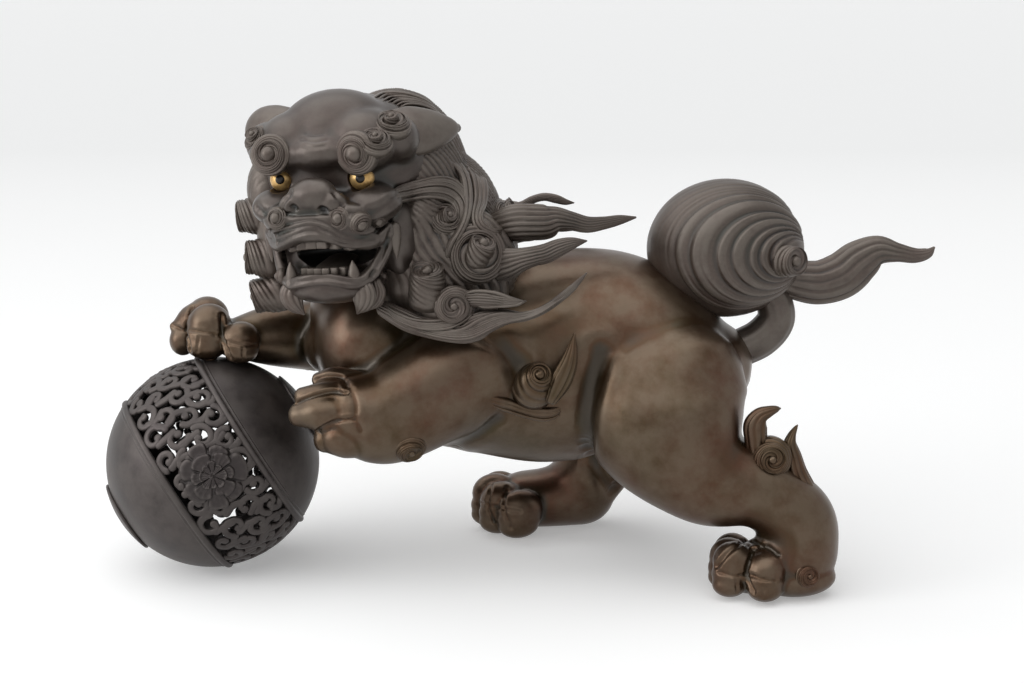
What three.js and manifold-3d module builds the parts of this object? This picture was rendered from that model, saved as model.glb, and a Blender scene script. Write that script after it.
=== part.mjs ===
// A cast bronze guardian lion with one forepaw on an openwork ball.
// Millimetres, +Z up. The lion faces -X, its left side is towards -Y, and it stands on Z = 0.
import * as THREE from "three";
import { mergeVertices } from "three/addons/utils/BufferGeometryUtils.js";
import Module from "manifold-3d";

const wasm = await Module();
wasm.setup();

// Driving dimensions

const CLEARANCE = 0.3; // between two pieces that meet
const RUNNING_CLEARANCE = 1.2; // between the paw and the turning ball

const BALL_X = -166.6; // the ball's centre, seen from above
const BALL_Y = -9;
const BALL_RADIUS = 58.5;
const BALL_WALL = 3.2;
const BALL_AXIS_RISE = 30; // degrees that the axis through the two caps rises towards +X
const BALL_AXIS_TURN = 15; // degrees that its upper end turns towards +Y
const BAND_HALF_WIDTH = 0.4 * BALL_RADIUS; // from the ball's equator to the bead's middle
const BEAD_WIDTH = 3.2;
const BEAD_PROUD = 1.2;
const BAND_HOLE_RADIUS = 5.2;
const BAND_HOLE_ROW = 9; // from the equator to each row of holes
const BAND_HOLES_AROUND = 16;
const PEONY_COUNT = 3;
const PEONY_RADIUS = 17;
const PEONY_PROUD = 3;
const PEONY_PHASE = -10; // degrees about the axis, from the front to the first peony
const POLE_DISC_RADIUS = 16;
const POLE_DISC_PROUD = 1.6;

const PEG_RADIUS = 3;
const PEG_DEPTH_IN_PAW = 11;
const PEG_DEPTH_IN_BALL = 8;
const PEG_SHOULDER_RADIUS = 4.2;

const TORSO_WALL = 5;
const NECK_RADIUS = 35;
const NECK_LENGTH = 56;
const NECK_FOOT = [-42, 0, 146]; // where the neck's axis leaves the shoulders
const NECK_LEAN = [-0.5, 0, 0.866]; // the way the head slides off
const SPIGOT_LENGTH = 16;
const SPIGOT_WALL = 4;

const HEAD_OFFSET = [-15, -30, 29.5]; // from the neck's end to the head's centre
const HEAD_YAW = 17; // degrees that the face turns from -Y towards -X
const HEAD_ROLL = 4; // degrees that its right side dips
const SKULL_HALF = [46, 42, 39];
const SKULL_WALL = 9;
const EYE_SPACING = 49;
const EYE_RADIUS = 6.4;
const EYE_DEPTH = 8;
const EYE_SET_BACK = 4; // from the skull's front to the eye's front
const EYE_DROP = 2;
const PUPIL_RADIUS = 2.7;
const PUPIL_DEPTH = 3;
const PUPIL_PROUD = 0.6;
const FANG_RADIUS = 3.4;
const FANG_LENGTH = 15;

const THROAT_RADIUS = 14; // half the width of the mane's opening under the chin
const COMB_TOP = [-34, -40, 63.5]; // from the neck's end to where the mane's partings fan out
const COMB_WAY = [0.65, 0.3, -0.7]; // the line about which they fan
const COMB_LINES = 14;
const COMB_WIDTH = 2.4;
const COMB_DEPTH = 2;
const COMB_START = 12; // from that line to where each parting begins

const STEM_RADIUS = 13;
const TENON_RADIUS = 8;
const TENON_LENGTH = 34; // from its end in the rump to well inside the stem
const TENON_FOOT = [112, 0, 110]; // inside the rump, where the tail's tenon ends
const TENON_LEAN = [0.8, 0, 0.6]; // the way the tail slides out
const PLUME_CENTRE = [117, 0, 178.5];
const PLUME_HALF = [43, 36, 38];
const GROOVE_REACHES = [37.5, 52.5, 67]; // from the plume's rear end to each groove's far side
const GROOVE_WIDTH = 2;
const GROOVE_DEPTH = 1.6;
const GROOVE_START = 18; // from the plume's rear end
const BUTTON_RADIUS = 7;

// Finishes

const finish = (color, roughness, metalness) =>
  new THREE.MeshStandardMaterial({ color, roughness, metalness });
const BODY_BRONZE = finish(0x5d4a3a, 0.42, 0.85);
const HEAD_BRONZE = finish(0x4a403a, 0.5, 0.8);
const BALL_BRONZE = finish(0x453c38, 0.55, 0.8);
const GILT = finish(0xd79a45, 0.3, 1);
const BLACK_ALLOY = finish(0x14100e, 0.35, 0.9);

// Solids

const Y = new THREE.Vector3(0, 1, 0);
const Z = new THREE.Vector3(0, 0, 1);
const at = (p) => new THREE.Vector3(...p);
const wayOf = (p) => at(p).normalize();
const radians = THREE.MathUtils.degToRad;

// A closed geometry as a solid, with shared vertices merged and collapsed faces left out.
function solidOf(geometry) {
  const bare = new THREE.BufferGeometry();
  bare.setAttribute("position", geometry.getAttribute("position").clone());
  bare.setIndex(geometry.index);
  const merged = mergeVertices(bare, 1e-3);
  const corners = merged.index.array;
  const triVerts = [];
  for (let i = 0; i < corners.length; i += 3) {
    const [a, b, c] = corners.slice(i, i + 3);
    if (a !== b && b !== c && c !== a) triVerts.push(a, b, c);
  }
  return new wasm.Manifold(
    new wasm.Mesh({
      numProp: 3,
      vertProperties: merged.attributes.position.array,
      triVerts: new Uint32Array(triVerts),
    }),
  );
}

const unite = (solids) => solids.reduce((whole, solid) => whole.add(solid));
const cut = (solid, tools) => tools.reduce((rest, tool) => rest.subtract(tool), solid);
const largest = (solid) =>
  solid.decompose().reduce((best, body) => (body.volume() > best.volume() ? body : best));

function mesh(name, solid, material) {
  const { numProp, vertProperties, triVerts, numVert } = solid.getMesh();
  const position = new Float32Array(numVert * 3);
  for (let i = 0; i < numVert; i++)
    position.set(vertProperties.subarray(i * numProp, i * numProp + 3), i * 3);
  const geometry = new THREE.BufferGeometry()
    .setAttribute("position", new THREE.BufferAttribute(position, 3))
    .setIndex(new THREE.BufferAttribute(triVerts, 1));
  const made = new THREE.Mesh(geometry, material);
  made.name = name;
  return made;
}

// The closed skin over rings of points, with a pole at each end.
function skin(rings, first, last) {
  const sides = rings[0].length;
  const points = [...rings.flat(), first, last];
  const foot = points.length - 2;
  const top = (rings.length - 1) * sides;
  const index = [];
  for (let k = 0; k < sides; k++) {
    const next = (k + 1) % sides;
    index.push(foot, k, next, foot + 1, top + next, top + k);
    for (let a = 0; a < top; a += sides) {
      const b = a + sides;
      index.push(a + k, b + next, a + next, a + k, b + k, b + next);
    }
  }
  return new THREE.BufferGeometry().setFromPoints(points).setIndex(index);
}

// A round limb through stations [x, y, z, half width, half height], with domed ends.
// The width lies across both the path and the up direction.
function limb(stations, { up = Z, sides = 10, steps = 6, grow = 0 } = {}) {
  const path = new THREE.CatmullRomCurve3(stations.map(([x, y, z]) => at([x, y, z])));
  const sizes = new THREE.CatmullRomCurve3(
    stations.map(([, , , wide, high = wide]) => at([wide, high, 0])),
  );
  const ring = (t, lean, way) => {
    const along = path.getTangent(t);
    const across = new THREE.Vector3().crossVectors(along, up).normalize();
    const over = new THREE.Vector3().crossVectors(across, along);
    const size = sizes.getPoint(t).addScalar(grow);
    const reach = Math.min(size.x, size.y) * Math.sin(lean) * way;
    const centre = path.getPoint(t).addScaledVector(along, reach);
    size.multiplyScalar(Math.cos(lean));
    return Array.from({ length: sides }, (_, k) => {
      const turn = (2 * Math.PI * k) / sides;
      return centre
        .clone()
        .addScaledVector(across, Math.cos(turn) * size.x)
        .addScaledVector(over, Math.sin(turn) * size.y);
    });
  };
  const dome = [55, 25].map(radians);
  const rings = dome.map((lean) => ring(0, lean, -1));
  for (let i = 0; i <= steps; i++) rings.push(ring(i / steps, 0, 1));
  rings.push(...dome.reverse().map((lean) => ring(1, lean, 1)));
  const pole = (t, way) => ring(t, Math.PI / 2, way)[0];
  return solidOf(skin(rings, pole(0, -1), pole(1, 1)));
}

function ellipsoid(centre, half, { sides = 16, rows = 10, grow = 0 } = {}) {
  const ball = new THREE.SphereGeometry(1, sides, rows);
  ball.rotateX(Math.PI / 2);
  ball.scale(...half.map((h) => h + grow));
  ball.translate(...centre);
  return solidOf(ball);
}

// A turned solid on the line from foot along way, from a profile of [radius, height].
function turned(profile, foot, way, sides = 16) {
  const lathe = new THREE.LatheGeometry(profile.map(([r, h]) => new THREE.Vector2(r, h)), sides);
  lathe.applyQuaternion(new THREE.Quaternion().setFromUnitVectors(Y, way));
  lathe.translate(foot.x, foot.y, foot.z);
  return solidOf(lathe);
}

const rod = (foot, way, radius, length, sides = 16) =>
  turned([[0, 0], [radius, 0], [radius, length], [0, length]], foot, way, sides);

const spike = (foot, way, radius, length) =>
  turned([[0, 0], [radius, 0], [radius * 0.7, length * 0.6], [0, length]], foot, way, 8);

// A conical curl of hair, whose tiers step in towards a round tip.
function curl(centre, way, radius, height, grow = 0) {
  const tiers = [[0, 0], [1, 0], [1, 0.36], [0.74, 0.46], [0.74, 0.66], [0.42, 0.76], [0.4, 0.92], [0, 1]];
  const foot = at(centre).addScaledVector(way, -grow);
  const profile = tiers.map(([r, h]) => [r * (radius + grow), h * (height + 2 * grow)]);
  return turned(profile, foot, way, 8);
}

const mirrorY = (stations) => stations.map(([x, y, ...rest]) => [x, -y, ...rest]);

// Ball

const beadAngle = Math.asin(BAND_HALF_WIDTH / BALL_RADIUS);
const beadHalf = BEAD_WIDTH / 2 / BALL_RADIUS;
const seam = CLEARANCE / BALL_RADIUS;
const axisRise = radians(BALL_AXIS_RISE);
const beadBottom = (BALL_RADIUS + BEAD_PROUD) * Math.cos(axisRise - beadAngle - beadHalf);
const ballCentre = at([BALL_X, BALL_Y, Math.max(BALL_RADIUS, beadBottom)]);
const ballTop = ballCentre.z + BALL_RADIUS;
const turnBall = (p) => at(p).applyAxisAngle(Z, radians(BALL_AXIS_TURN));
const ballAxis = turnBall([Math.cos(axisRise), 0, Math.sin(axisRise)]);
const ballFront = turnBall([0, -1, 0]).applyAxisAngle(ballAxis, radians(PEONY_PHASE));
const pegFoot = at([BALL_X, BALL_Y, ballTop - PEG_DEPTH_IN_BALL]);

// A spherical shell about a line through the ball's centre, between two latitudes and two radii.
function shell(low, high, inner, outer, { rows = 2, sides = 24, way = ballAxis } = {}) {
  const arc = (radius, from, to) =>
    Array.from({ length: rows + 1 }, (_, i) => {
      const latitude = from + ((to - from) * i) / rows;
      const reach = radius * Math.cos(latitude);
      return [reach < 1e-6 ? 0 : reach, radius * Math.sin(latitude)];
    });
  const profile = [...arc(outer, low, high), ...arc(inner, high, low)];
  return turned([...profile, profile[0]], ballCentre, way, sides);
}

function capMeshes(side, way) {
  const top = Math.PI / 2;
  const inner = BALL_RADIUS - BALL_WALL;
  const seat = BALL_RADIUS + CLEARANCE;
  const edge = beadAngle + beadHalf + seam;
  const discAngle = top - POLE_DISC_RADIUS / BALL_RADIUS;
  const pegHole = rod(pegFoot, Z, PEG_RADIUS + CLEARANCE, 2 * PEG_DEPTH_IN_BALL);
  const cap = shell(edge, top, inner, BALL_RADIUS, { rows: 5, sides: 20, way });
  const proud = BALL_RADIUS + BEAD_PROUD;
  const bead = shell(beadAngle - beadHalf, beadAngle + beadHalf, inner, proud, { rows: 1, way });
  const disc = shell(discAngle, top, seat, seat + POLE_DISC_PROUD, { sides: 16, way });
  return [
    mesh(`ball_cap_${side}`, cap.subtract(pegHole), BALL_BRONZE),
    mesh(`ball_bead_${side}`, bead, BALL_BRONZE),
    mesh(`ball_pole_disc_${side}`, disc, BALL_BRONZE),
  ];
}

// The pierced band between the two beads, left whole behind each peony.
function bandMeshes() {
  const inner = BALL_RADIUS - BALL_WALL;
  const edge = beadAngle - beadHalf - seam;
  const around = (share) => ballFront.clone().applyAxisAngle(ballAxis, 2 * Math.PI * share);
  const peonyWays = Array.from({ length: PEONY_COUNT }, (_, i) => around(i / PEONY_COUNT));
  const holes = [];
  for (const row of [-1, 1])
    for (let i = 0; i < BAND_HOLES_AROUND; i++) {
      const lift = Math.asin((row * BAND_HOLE_ROW) / BALL_RADIUS);
      const way = around((i + row / 4) / BAND_HOLES_AROUND)
        .multiplyScalar(Math.cos(lift))
        .addScaledVector(ballAxis, Math.sin(lift));
      if (peonyWays.some((peony) => way.angleTo(peony) * BALL_RADIUS < PEONY_RADIUS)) continue;
      const foot = ballCentre.clone().addScaledVector(way, inner - BALL_WALL);
      holes.push(rod(foot, way, BAND_HOLE_RADIUS, 3 * BALL_WALL, 5));
    }
  const low = Math.PI / 2 - PEONY_RADIUS / BALL_RADIUS;
  const foot = BALL_RADIUS + CLEARANCE;
  const flower = (way) => shell(low, Math.PI / 2, foot, foot + PEONY_PROUD, { sides: 12, way });
  const band = shell(-edge, edge, inner, BALL_RADIUS, { sides: 32 });
  return [
    mesh("ball_openwork_band", cut(band, holes), BALL_BRONZE),
    ...peonyWays.map((way, i) => mesh(`ball_peony_${i + 1}`, flower(way), BALL_BRONZE)),
  ];
}

// Torso and neck, one hollow casting that is open at the neck

const neckWay = wayOf(NECK_LEAN);
const neckFoot = at(NECK_FOOT);
const neckEnd = neckFoot.clone().addScaledVector(neckWay, NECK_LENGTH);
const onNeck = ([x, y, z, ...sizes]) => [x + neckEnd.x, y + neckEnd.y, z + neckEnd.z, ...sizes];
const tailWay = wayOf(TENON_LEAN);
const tenonFoot = at(TENON_FOOT);

const barrelStations = [
  [-100, 0, 124, 20, 17],
  [-84, 0, 121, 36, 32],
  [-52, 0, 119, 48, 46],
  [-15, 0, 117, 54, 54],
  [20, 0, 118, 53, 60],
  [54, 0, 124, 50, 54],
  [82, 0, 121, 49, 43],
  [106, 0, 113, 36, 26],
];
const barrel = (grow) => limb(barrelStations, { sides: 14, steps: 10, grow });
const breast = (grow) => ellipsoid([-84, 0, 144], [28, 32, 26], { sides: 12, rows: 8, grow });
const neck = (grow, extra) => rod(neckFoot, neckWay, NECK_RADIUS + grow, NECK_LENGTH + extra, 20);
const torsoSpace = (grow) => unite([barrel(grow), breast(grow), neck(grow, grow)]);
const neckBore = () => neck(-TORSO_WALL, TORSO_WALL);

function torsoSolid() {
  const tailSocket = rod(tenonFoot, tailWay, TENON_RADIUS + CLEARANCE, 2 * TENON_LENGTH);
  return cut(torsoSpace(0), [barrel(-TORSO_WALL), breast(-TORSO_WALL), neckBore(), tailSocket]);
}

// Legs

const floor = solidOf(new THREE.BoxGeometry(1000, 1000, 100).translate(0, 0, -50));

function toes(root, tips, radius, grow) {
  return tips.map((tip) =>
    limb([[...root, radius * 0.8], [...tip, radius]], { sides: 8, steps: 1, grow }),
  );
}

const hindLegLeft = (grow) =>
  unite([
    limb(
      [
        [80, -34, 114, 44, 30],
        [86, -42, 88, 44, 33],
        [108, -50, 66, 27, 25],
        [134, -53, 54, 21],
        [153, -54, 40, 21],
      ],
      { up: Y, steps: 8, grow },
    ),
    limb(
      [[154, -54, 44, 20], [153, -54, 20, 21], [136, -56, 17, 20], [122, -58, 17, 19]],
      { up: Y, grow },
    ),
    ...toes([130, -58, 15], [[117, -69, 13], [113, -57, 15], [118, -45, 14]], 12, grow),
  ]);

const hindLegRight = (grow) =>
  unite([
    limb(
      [[78, 34, 112, 40, 28], [72, 44, 82, 34, 30], [58, 54, 52, 24, 22], [44, 57, 24, 21]],
      { up: Y, grow },
    ),
    limb([[44, 57, 20, 21], [24, 58, 17, 20], [6, 58, 17, 19]], { up: Y, steps: 5, grow }),
    ...toes([0, 58, 15], [[-7, 69, 13], [-12, 57, 15], [-7, 46, 14]], 12, grow),
  ]);

const forelegLeft = (grow) =>
  unite([
    limb(
      [[-26, -34, 118, 28, 31], [-46, -50, 108, 22, 27], [-68, -58, 98, 19, 25], [-86, -60, 99, 18, 23]],
      { grow },
    ),
    ...toes([-84, -60, 100], [[-104, -60, 113], [-107, -64, 101], [-97, -62, 87]], 11, grow),
  ]);

// The paw on the ball rides on top of it, whatever the ball's size.
const pawSole = ballTop + RUNNING_CLEARANCE;
const forelegRight = (grow) =>
  unite([
    limb(
      [
        [-40, 34, 118, 26, 30],
        [-78, 36, 124, 22, 26],
        [-112, 26, pawSole + 10, 18, 20],
        [BALL_X + 26, BALL_Y + 20, pawSole + 12, 16, 17],
        [BALL_X + 8, BALL_Y + 12, pawSole + 14, 17, 18],
      ],
      { steps: 8, grow },
    ),
    ...toes(
      [BALL_X + 6, BALL_Y + 8, pawSole + 14],
      [
        [BALL_X - 9, BALL_Y + 20, pawSole + 15],
        [BALL_X - 10, BALL_Y + 5, pawSole + 15],
        [BALL_X, BALL_Y - 9, pawSole + 13],
      ],
      12,
      grow,
    ),
  ]);

function pawSolid() {
  const ballSpace = ellipsoid(
    ballCentre.toArray(),
    Array(3).fill(BALL_RADIUS + BEAD_PROUD + RUNNING_CLEARANCE),
    { sides: 24, rows: 16 },
  );
  const depth = PEG_DEPTH_IN_BALL + RUNNING_CLEARANCE + PEG_DEPTH_IN_PAW;
  const pegSocket = rod(pegFoot, Z, PEG_RADIUS + CLEARANCE, depth);
  return largest(cut(forelegRight(0), [torsoSpace(CLEARANCE), ballSpace, pegSocket]));
}

function pegSolid() {
  const stop = PEG_DEPTH_IN_BALL + CLEARANCE;
  const seat = PEG_DEPTH_IN_BALL + BEAD_PROUD + RUNNING_CLEARANCE - 2 * CLEARANCE;
  const end = PEG_DEPTH_IN_BALL + RUNNING_CLEARANCE + PEG_DEPTH_IN_PAW - CLEARANCE;
  const profile = [
    [0, 0],
    [PEG_RADIUS, 0],
    [PEG_RADIUS, stop],
    [PEG_SHOULDER_RADIUS, stop],
    [PEG_SHOULDER_RADIUS, seat],
    [PEG_RADIUS, seat],
    [PEG_RADIUS, end],
    [0, end],
  ];
  return turned(profile, pegFoot, Z);
}

// Flame ornaments on the shoulders and hocks

const shoulderFlame = (side) => {
  const outward = (stations) => (side < 0 ? stations : mirrorY(stations));
  const leaf = { up: Y, sides: 8, steps: 5 };
  const [centre] = outward([[12, -50, 119]]);
  return unite([
    curl(centre, wayOf([0.1, 0.9 * side, 0.42]), 11, 20),
    limb(outward([[16, -54, 114, 7, 4], [24, -57, 124, 6, 4], [31, -58, 140, 1.6, 1]]), leaf),
    limb(
      outward([[-22, -56, 107, 2, 2], [-4, -57, 105, 4, 3], [14, -56, 106, 6, 4], [28, -54, 103, 2, 1]]),
      leaf,
    ),
  ]);
};

const hockFlame = (x, y, z, side) => {
  const leaf = { up: Y, sides: 8, steps: 6 };
  const near = y + 6 * side;
  return unite([
    curl([x, y + 12 * side, z + 6], wayOf([0, side, 0.25]), 11, 10),
    limb(
      [
        [x - 4, near, z + 4, 6],
        [x - 7, near, z + 18, 6, 5],
        [x - 1, near, z + 29, 5, 4],
        [x + 8, near, z + 31, 1.5],
      ],
      leaf,
    ),
    limb([[x + 6, near, z - 2, 7, 6], [x + 12, near, z + 8, 5, 4], [x + 17, near, z + 19, 1.2]], leaf),
  ]);
};

function lionMeshes() {
  const torso = torsoSpace(CLEARANCE);
  const dressed = (leg) => largest(cut(leg(0), [torso, floor]));
  const forelegSpaces = [forelegLeft(CLEARANCE), forelegRight(CLEARANCE)];
  const flame = (side) => largest(cut(shoulderFlame(side), [torso, ...forelegSpaces]));
  const hock = (leg, x, y, z) => largest(cut(hockFlame(x, y, z, Math.sign(y)), [leg(CLEARANCE)]));
  const elbow = curl([-53, -62, 79], wayOf([0.1, -1, -0.1]), 9, 18);
  return [
    mesh("torso", torsoSolid(), BODY_BRONZE),
    mesh("hind_leg_left", dressed(hindLegLeft), BODY_BRONZE),
    mesh("hind_leg_right", dressed(hindLegRight), BODY_BRONZE),
    mesh("foreleg_left", dressed(forelegLeft), BODY_BRONZE),
    mesh("foreleg_right", pawSolid(), BODY_BRONZE),
    mesh("paw_peg", pegSolid(), BODY_BRONZE),
    mesh("shoulder_flame_left", flame(-1), BODY_BRONZE),
    mesh("shoulder_flame_right", flame(1), BODY_BRONZE),
    mesh("hock_flame_left", hock(hindLegLeft, 136, -54, 68), BODY_BRONZE),
    mesh("hock_flame_right", hock(hindLegRight, 82, 54, 66), BODY_BRONZE),
    mesh("elbow_curl_left", largest(cut(elbow, [forelegLeft(CLEARANCE), torso])), BODY_BRONZE),
  ];
}

// Head, in its own frame: X to its left, -Y the way it looks, Z up

const headCentre = onNeck(HEAD_OFFSET);
const placeHead = (solid) => solid.rotate([0, -HEAD_ROLL, -HEAD_YAW]).translate(headCentre);
const both = (make) => [-1, 1].map(make);

const small = { sides: 12, rows: 8 };
const mouth = () => ellipsoid([0, -46, -41], [29, 34, 11], small);
const headMass = (grow) =>
  unite([
    ellipsoid([0, 0, 4], SKULL_HALF, { grow }),
    ellipsoid([0, -26, 14], [41, 16, 12], { grow, ...small }),
    ellipsoid([0, -38, -19], [35, 24, 14], { grow, ...small }),
    ellipsoid([0, -54, -8], [17, 11, 9], { grow, ...small }),
    ellipsoid([0, -6, -38], [36, 30, 22], { grow, ...small }),
    ...both((s) => ellipsoid([s * 32, -14, -20], [20, 24, 24], { grow, ...small })),
  ]);
const jawMass = (grow) => ellipsoid([0, -34, -56], [29, 25, 10], { grow });
const earMass = (s, grow) =>
  limb([[s * 32, 0, 16, 9, 6], [s * 44, 11, 20, 13, 6], [s * 58, 22, 24, 2, 2]], { up: Y, grow });
const beardMass = (s, grow) =>
  unite([
    curl([s * 17, -42, -58], wayOf([s * 0.3, -0.7, -0.7]), 9, 14, grow),
    curl([s * 28, -28, -56], wayOf([s * 0.7, -0.5, -0.7]), 9, 16, grow),
  ]);
const eyeFront = SKULL_HALF[1] - EYE_SET_BACK;
const eyeFoot = (s) => at([(s * EYE_SPACING) / 2, EYE_DEPTH - eyeFront, -EYE_DROP]);
const ahead = at([0, -1, 0]);

const headFrontSpace = placeHead(cut(headMass(CLEARANCE), [mouth()]));
const jawSpace = placeHead(jawMass(CLEARANCE));
const spigotRadius = NECK_RADIUS - TORSO_WALL - CLEARANCE;
const spigotFoot = neckEnd.clone().addScaledVector(neckWay, -SPIGOT_LENGTH);
const spigotReach = SPIGOT_LENGTH + 2 * SPIGOT_WALL;
const spigot = (grow) => rod(spigotFoot, neckWay, spigotRadius + grow, spigotReach + grow, 20);

// The skull slips over the neck, and its spigot runs down inside the neck's bore.
function headSolid() {
  const sockets = both((s) => rod(eyeFoot(s), ahead, EYE_RADIUS + CLEARANCE, 2 * EYE_DEPTH));
  const front = placeHead(cut(headMass(0), [mouth(), ...sockets]));
  const hollow = placeHead(ellipsoid([0, 0, 4], SKULL_HALF, { grow: -SKULL_WALL }));
  const boreReach = spigotReach + 2 * SPIGOT_WALL;
  const bore = rod(spigotFoot, neckWay, spigotRadius - SPIGOT_WALL, boreReach, 20);
  return largest(cut(front.subtract(torsoSpace(CLEARANCE)).add(spigot(0)), [hollow, bore]));
}

function eyeMeshes(side, s) {
  const pupilFoot = eyeFoot(s).addScaledVector(ahead, EYE_DEPTH - PUPIL_DEPTH);
  const hole = rod(pupilFoot, ahead, PUPIL_RADIUS + CLEARANCE, 2 * PUPIL_DEPTH, 12);
  const dome = [
    [0, CLEARANCE],
    [EYE_RADIUS, CLEARANCE],
    [EYE_RADIUS, EYE_DEPTH * 0.7],
    [EYE_RADIUS * 0.75, EYE_DEPTH * 0.95],
    [0, EYE_DEPTH],
  ];
  const eye = turned(dome, eyeFoot(s), ahead).subtract(hole);
  const pupil = rod(
    pupilFoot.addScaledVector(ahead, CLEARANCE),
    ahead,
    PUPIL_RADIUS,
    PUPIL_DEPTH + PUPIL_PROUD,
    12,
  );
  return [
    mesh(`eye_${side}`, placeHead(eye), GILT),
    mesh(`pupil_${side}`, placeHead(pupil), BLACK_ALLOY),
  ];
}

function sideMeshes(side, s) {
  const trimmed = (solid) => largest(cut(placeHead(solid), [headFrontSpace, jawSpace]));
  const brow = unite([
    curl([s * 20, -36, 17], wayOf([0, -1, 0.2]), 9, 12),
    curl([s * 31, -30, 23], wayOf([s * 0.4, -1, 0.3]), 8, 12),
    curl([s * 39, -20, 30], wayOf([s * 0.8, -0.8, 0.4]), 7, 12),
  ]);
  const upperFang = spike(at([s * 26, -46, -26]), wayOf([0, 0, -1]), FANG_RADIUS, FANG_LENGTH);
  const lowerFang = spike(at([s * 17, -48, -56]), wayOf([0, 0, 1]), FANG_RADIUS, FANG_LENGTH);
  return [
    ...eyeMeshes(side, s),
    mesh(`ear_${side}`, trimmed(earMass(s, 0)), HEAD_BRONZE),
    mesh(`brow_curls_${side}`, trimmed(brow), HEAD_BRONZE),
    mesh(`upper_fang_${side}`, trimmed(upperFang), HEAD_BRONZE),
    mesh(`lower_fang_${side}`, trimmed(lowerFang), HEAD_BRONZE),
    mesh(`beard_${side}`, trimmed(beardMass(s, 0)), HEAD_BRONZE),
  ];
}

// Mane, placed from the neck's end: one hollow hood with conical curls, and flame locks that trail off it

const headTurn = new THREE.Euler(0, -radians(HEAD_ROLL), -radians(HEAD_YAW), "ZYX");
const headPoint = (p) => at(p).applyEuler(headTurn).add(at(headCentre)).toArray();
const headWay = (p) => wayOf(p).applyEuler(headTurn);

// Curls on the hood as [foot, way, radius, height], the first list from the neck's end
const neckCurls = [
  [[38, -48, 4], [0.1, -0.8, 0.6], 9.5, 16],
  [[26, -55, -37], [0, -0.4, 0.92], 12, 29],
  [[41, -60, -36], [0.05, -1, 0.2], 11.5, 17],
  ...both((s) => [[57, s * 40, 0], [0.5, s * 0.4, 0.75], 11, 21]),
  ...both((s) => [[51, s * 49, -15], [0.25, s * 0.8, 0.5], 15.5, 27]),
];
const rightCurls = [
  [[-43, -3, -20], [-1, -0.4, 0], 10, 17],
  [[-40, -10, -43], [-1, -0.5, 0.1], 10.5, 18],
  [[-40, -7, -61], [-1, -0.5, -0.15], 10.5, 21],
];

const hoodLumps = (grow) => [
  ellipsoid(onNeck([7, -8, 17.5]), [41, 50, 54], { grow }),
  ellipsoid(onNeck([26, -4, -4.5]), [40, 50, 46], { grow }),
  ...both((s) => ellipsoid(onNeck([34, s * 42, -18.5]), [40, 21, 34], { grow, ...small })),
  ...both((s) => placeHead(ellipsoid([s * 40, 4, -32], [16, 23, 34], { grow, ...small }))),
];
const hoodCurls = (grow) => [
  ...neckCurls.map(([foot, way, ...size]) => curl(onNeck(foot), wayOf(way), ...size, grow)),
  ...rightCurls.map(([foot, way, ...size]) => curl(headPoint(foot), headWay(way), ...size, grow)),
];
const hoodMass = (grow) => unite([...hoodLumps(grow), ...hoodCurls(grow)]);

// Partings that fan out from the crown over the hood, a little way into its skin and clear of its curls
function combGrooves() {
  const kept = [...hoodLumps(-COMB_DEPTH), ...hoodCurls(CLEARANCE)];
  const lean = new THREE.Quaternion().setFromUnitVectors(Z, wayOf(COMB_WAY));
  const reach = 4 * NECK_RADIUS;
  return Array.from({ length: COMB_LINES }, (_, i) => {
    const slab = new THREE.BoxGeometry(reach, COMB_WIDTH, 2 * reach);
    slab.translate(COMB_START + reach / 2, 0, 0);
    slab.rotateZ((2 * Math.PI * i) / COMB_LINES);
    slab.applyQuaternion(lean).translate(...onNeck(COMB_TOP));
    return cut(solidOf(slab), kept);
  });
}

const lockStations = {
  upper: [[56, -34, 7.5, 9, 7], [90, -34, 4.5, 10, 7], [114, -28, 0.5, 7, 5], [136, -20, 4.5, 1.2, 1]],
  middle: [[52, -48, -12.5, 9, 7], [78, -52, -14.5, 9, 6], [96, -50, -11.5, 6, 4], [108, -46, -4.5, 1.2, 1]],
  lower: [[36, -60, -26.5, 8, 6], [60, -66, -30.5, 7, 6], [78, -68, -31.5, 1.2, 1]],
  long: [
    [-2, -56, -42.5, 6, 5],
    [26, -62, -51.5, 8, 6],
    [62, -64, -49.5, 9, 6],
    [88, -64, -36.5, 7, 5],
    [108, -61, -20.5, 1.2, 1],
  ],
};
const crestStations = [[54, 4, 15.5, 11, 6], [82, 5, 13.5, 10, 6], [104, 6, 8.5, 1.5, 1]];

const lionSpaces = [torsoSpace, hindLegLeft, hindLegRight, forelegLeft, forelegRight].map((make) =>
  make(CLEARANCE),
);

function headMeshes() {
  const teeth = (z, grow) =>
    limb([[-15, -50, z, 2.4], [0, -55, z, 2.4], [15, -50, z, 2.4]], { sides: 8, steps: 6, grow });
  const fangSpaces = both((s) =>
    placeHead(spike(at([s * 17, -48, -56]), Z, FANG_RADIUS + CLEARANCE, FANG_LENGTH + CLEARANCE)),
  );
  const jaw = placeHead(cut(jawMass(0), [mouth(), headMass(CLEARANCE)]));
  const jawOpen = placeHead(cut(jawMass(CLEARANCE), [mouth()]));
  const tongue = cut(placeHead(ellipsoid([0, -38, -47], [12, 17, 5])), [jawOpen, headFrontSpace]);
  const lowerTeeth = cut(placeHead(teeth(-48, 0)), [jawOpen, ...fangSpaces]);
  const sides = [["left", 1], ["right", -1]].flatMap(([side, s]) => sideMeshes(side, s));
  return [
    mesh("head", headSolid(), HEAD_BRONZE),
    mesh("lower_jaw", largest(jaw), HEAD_BRONZE),
    mesh("upper_teeth", largest(cut(placeHead(teeth(-31, 0)), [headFrontSpace])), HEAD_BRONZE),
    mesh("lower_teeth", largest(lowerTeeth), HEAD_BRONZE),
    mesh("tongue", largest(cut(tongue, [placeHead(teeth(-48, CLEARANCE))])), HEAD_BRONZE),
    ...sides,
  ];
}

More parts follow.
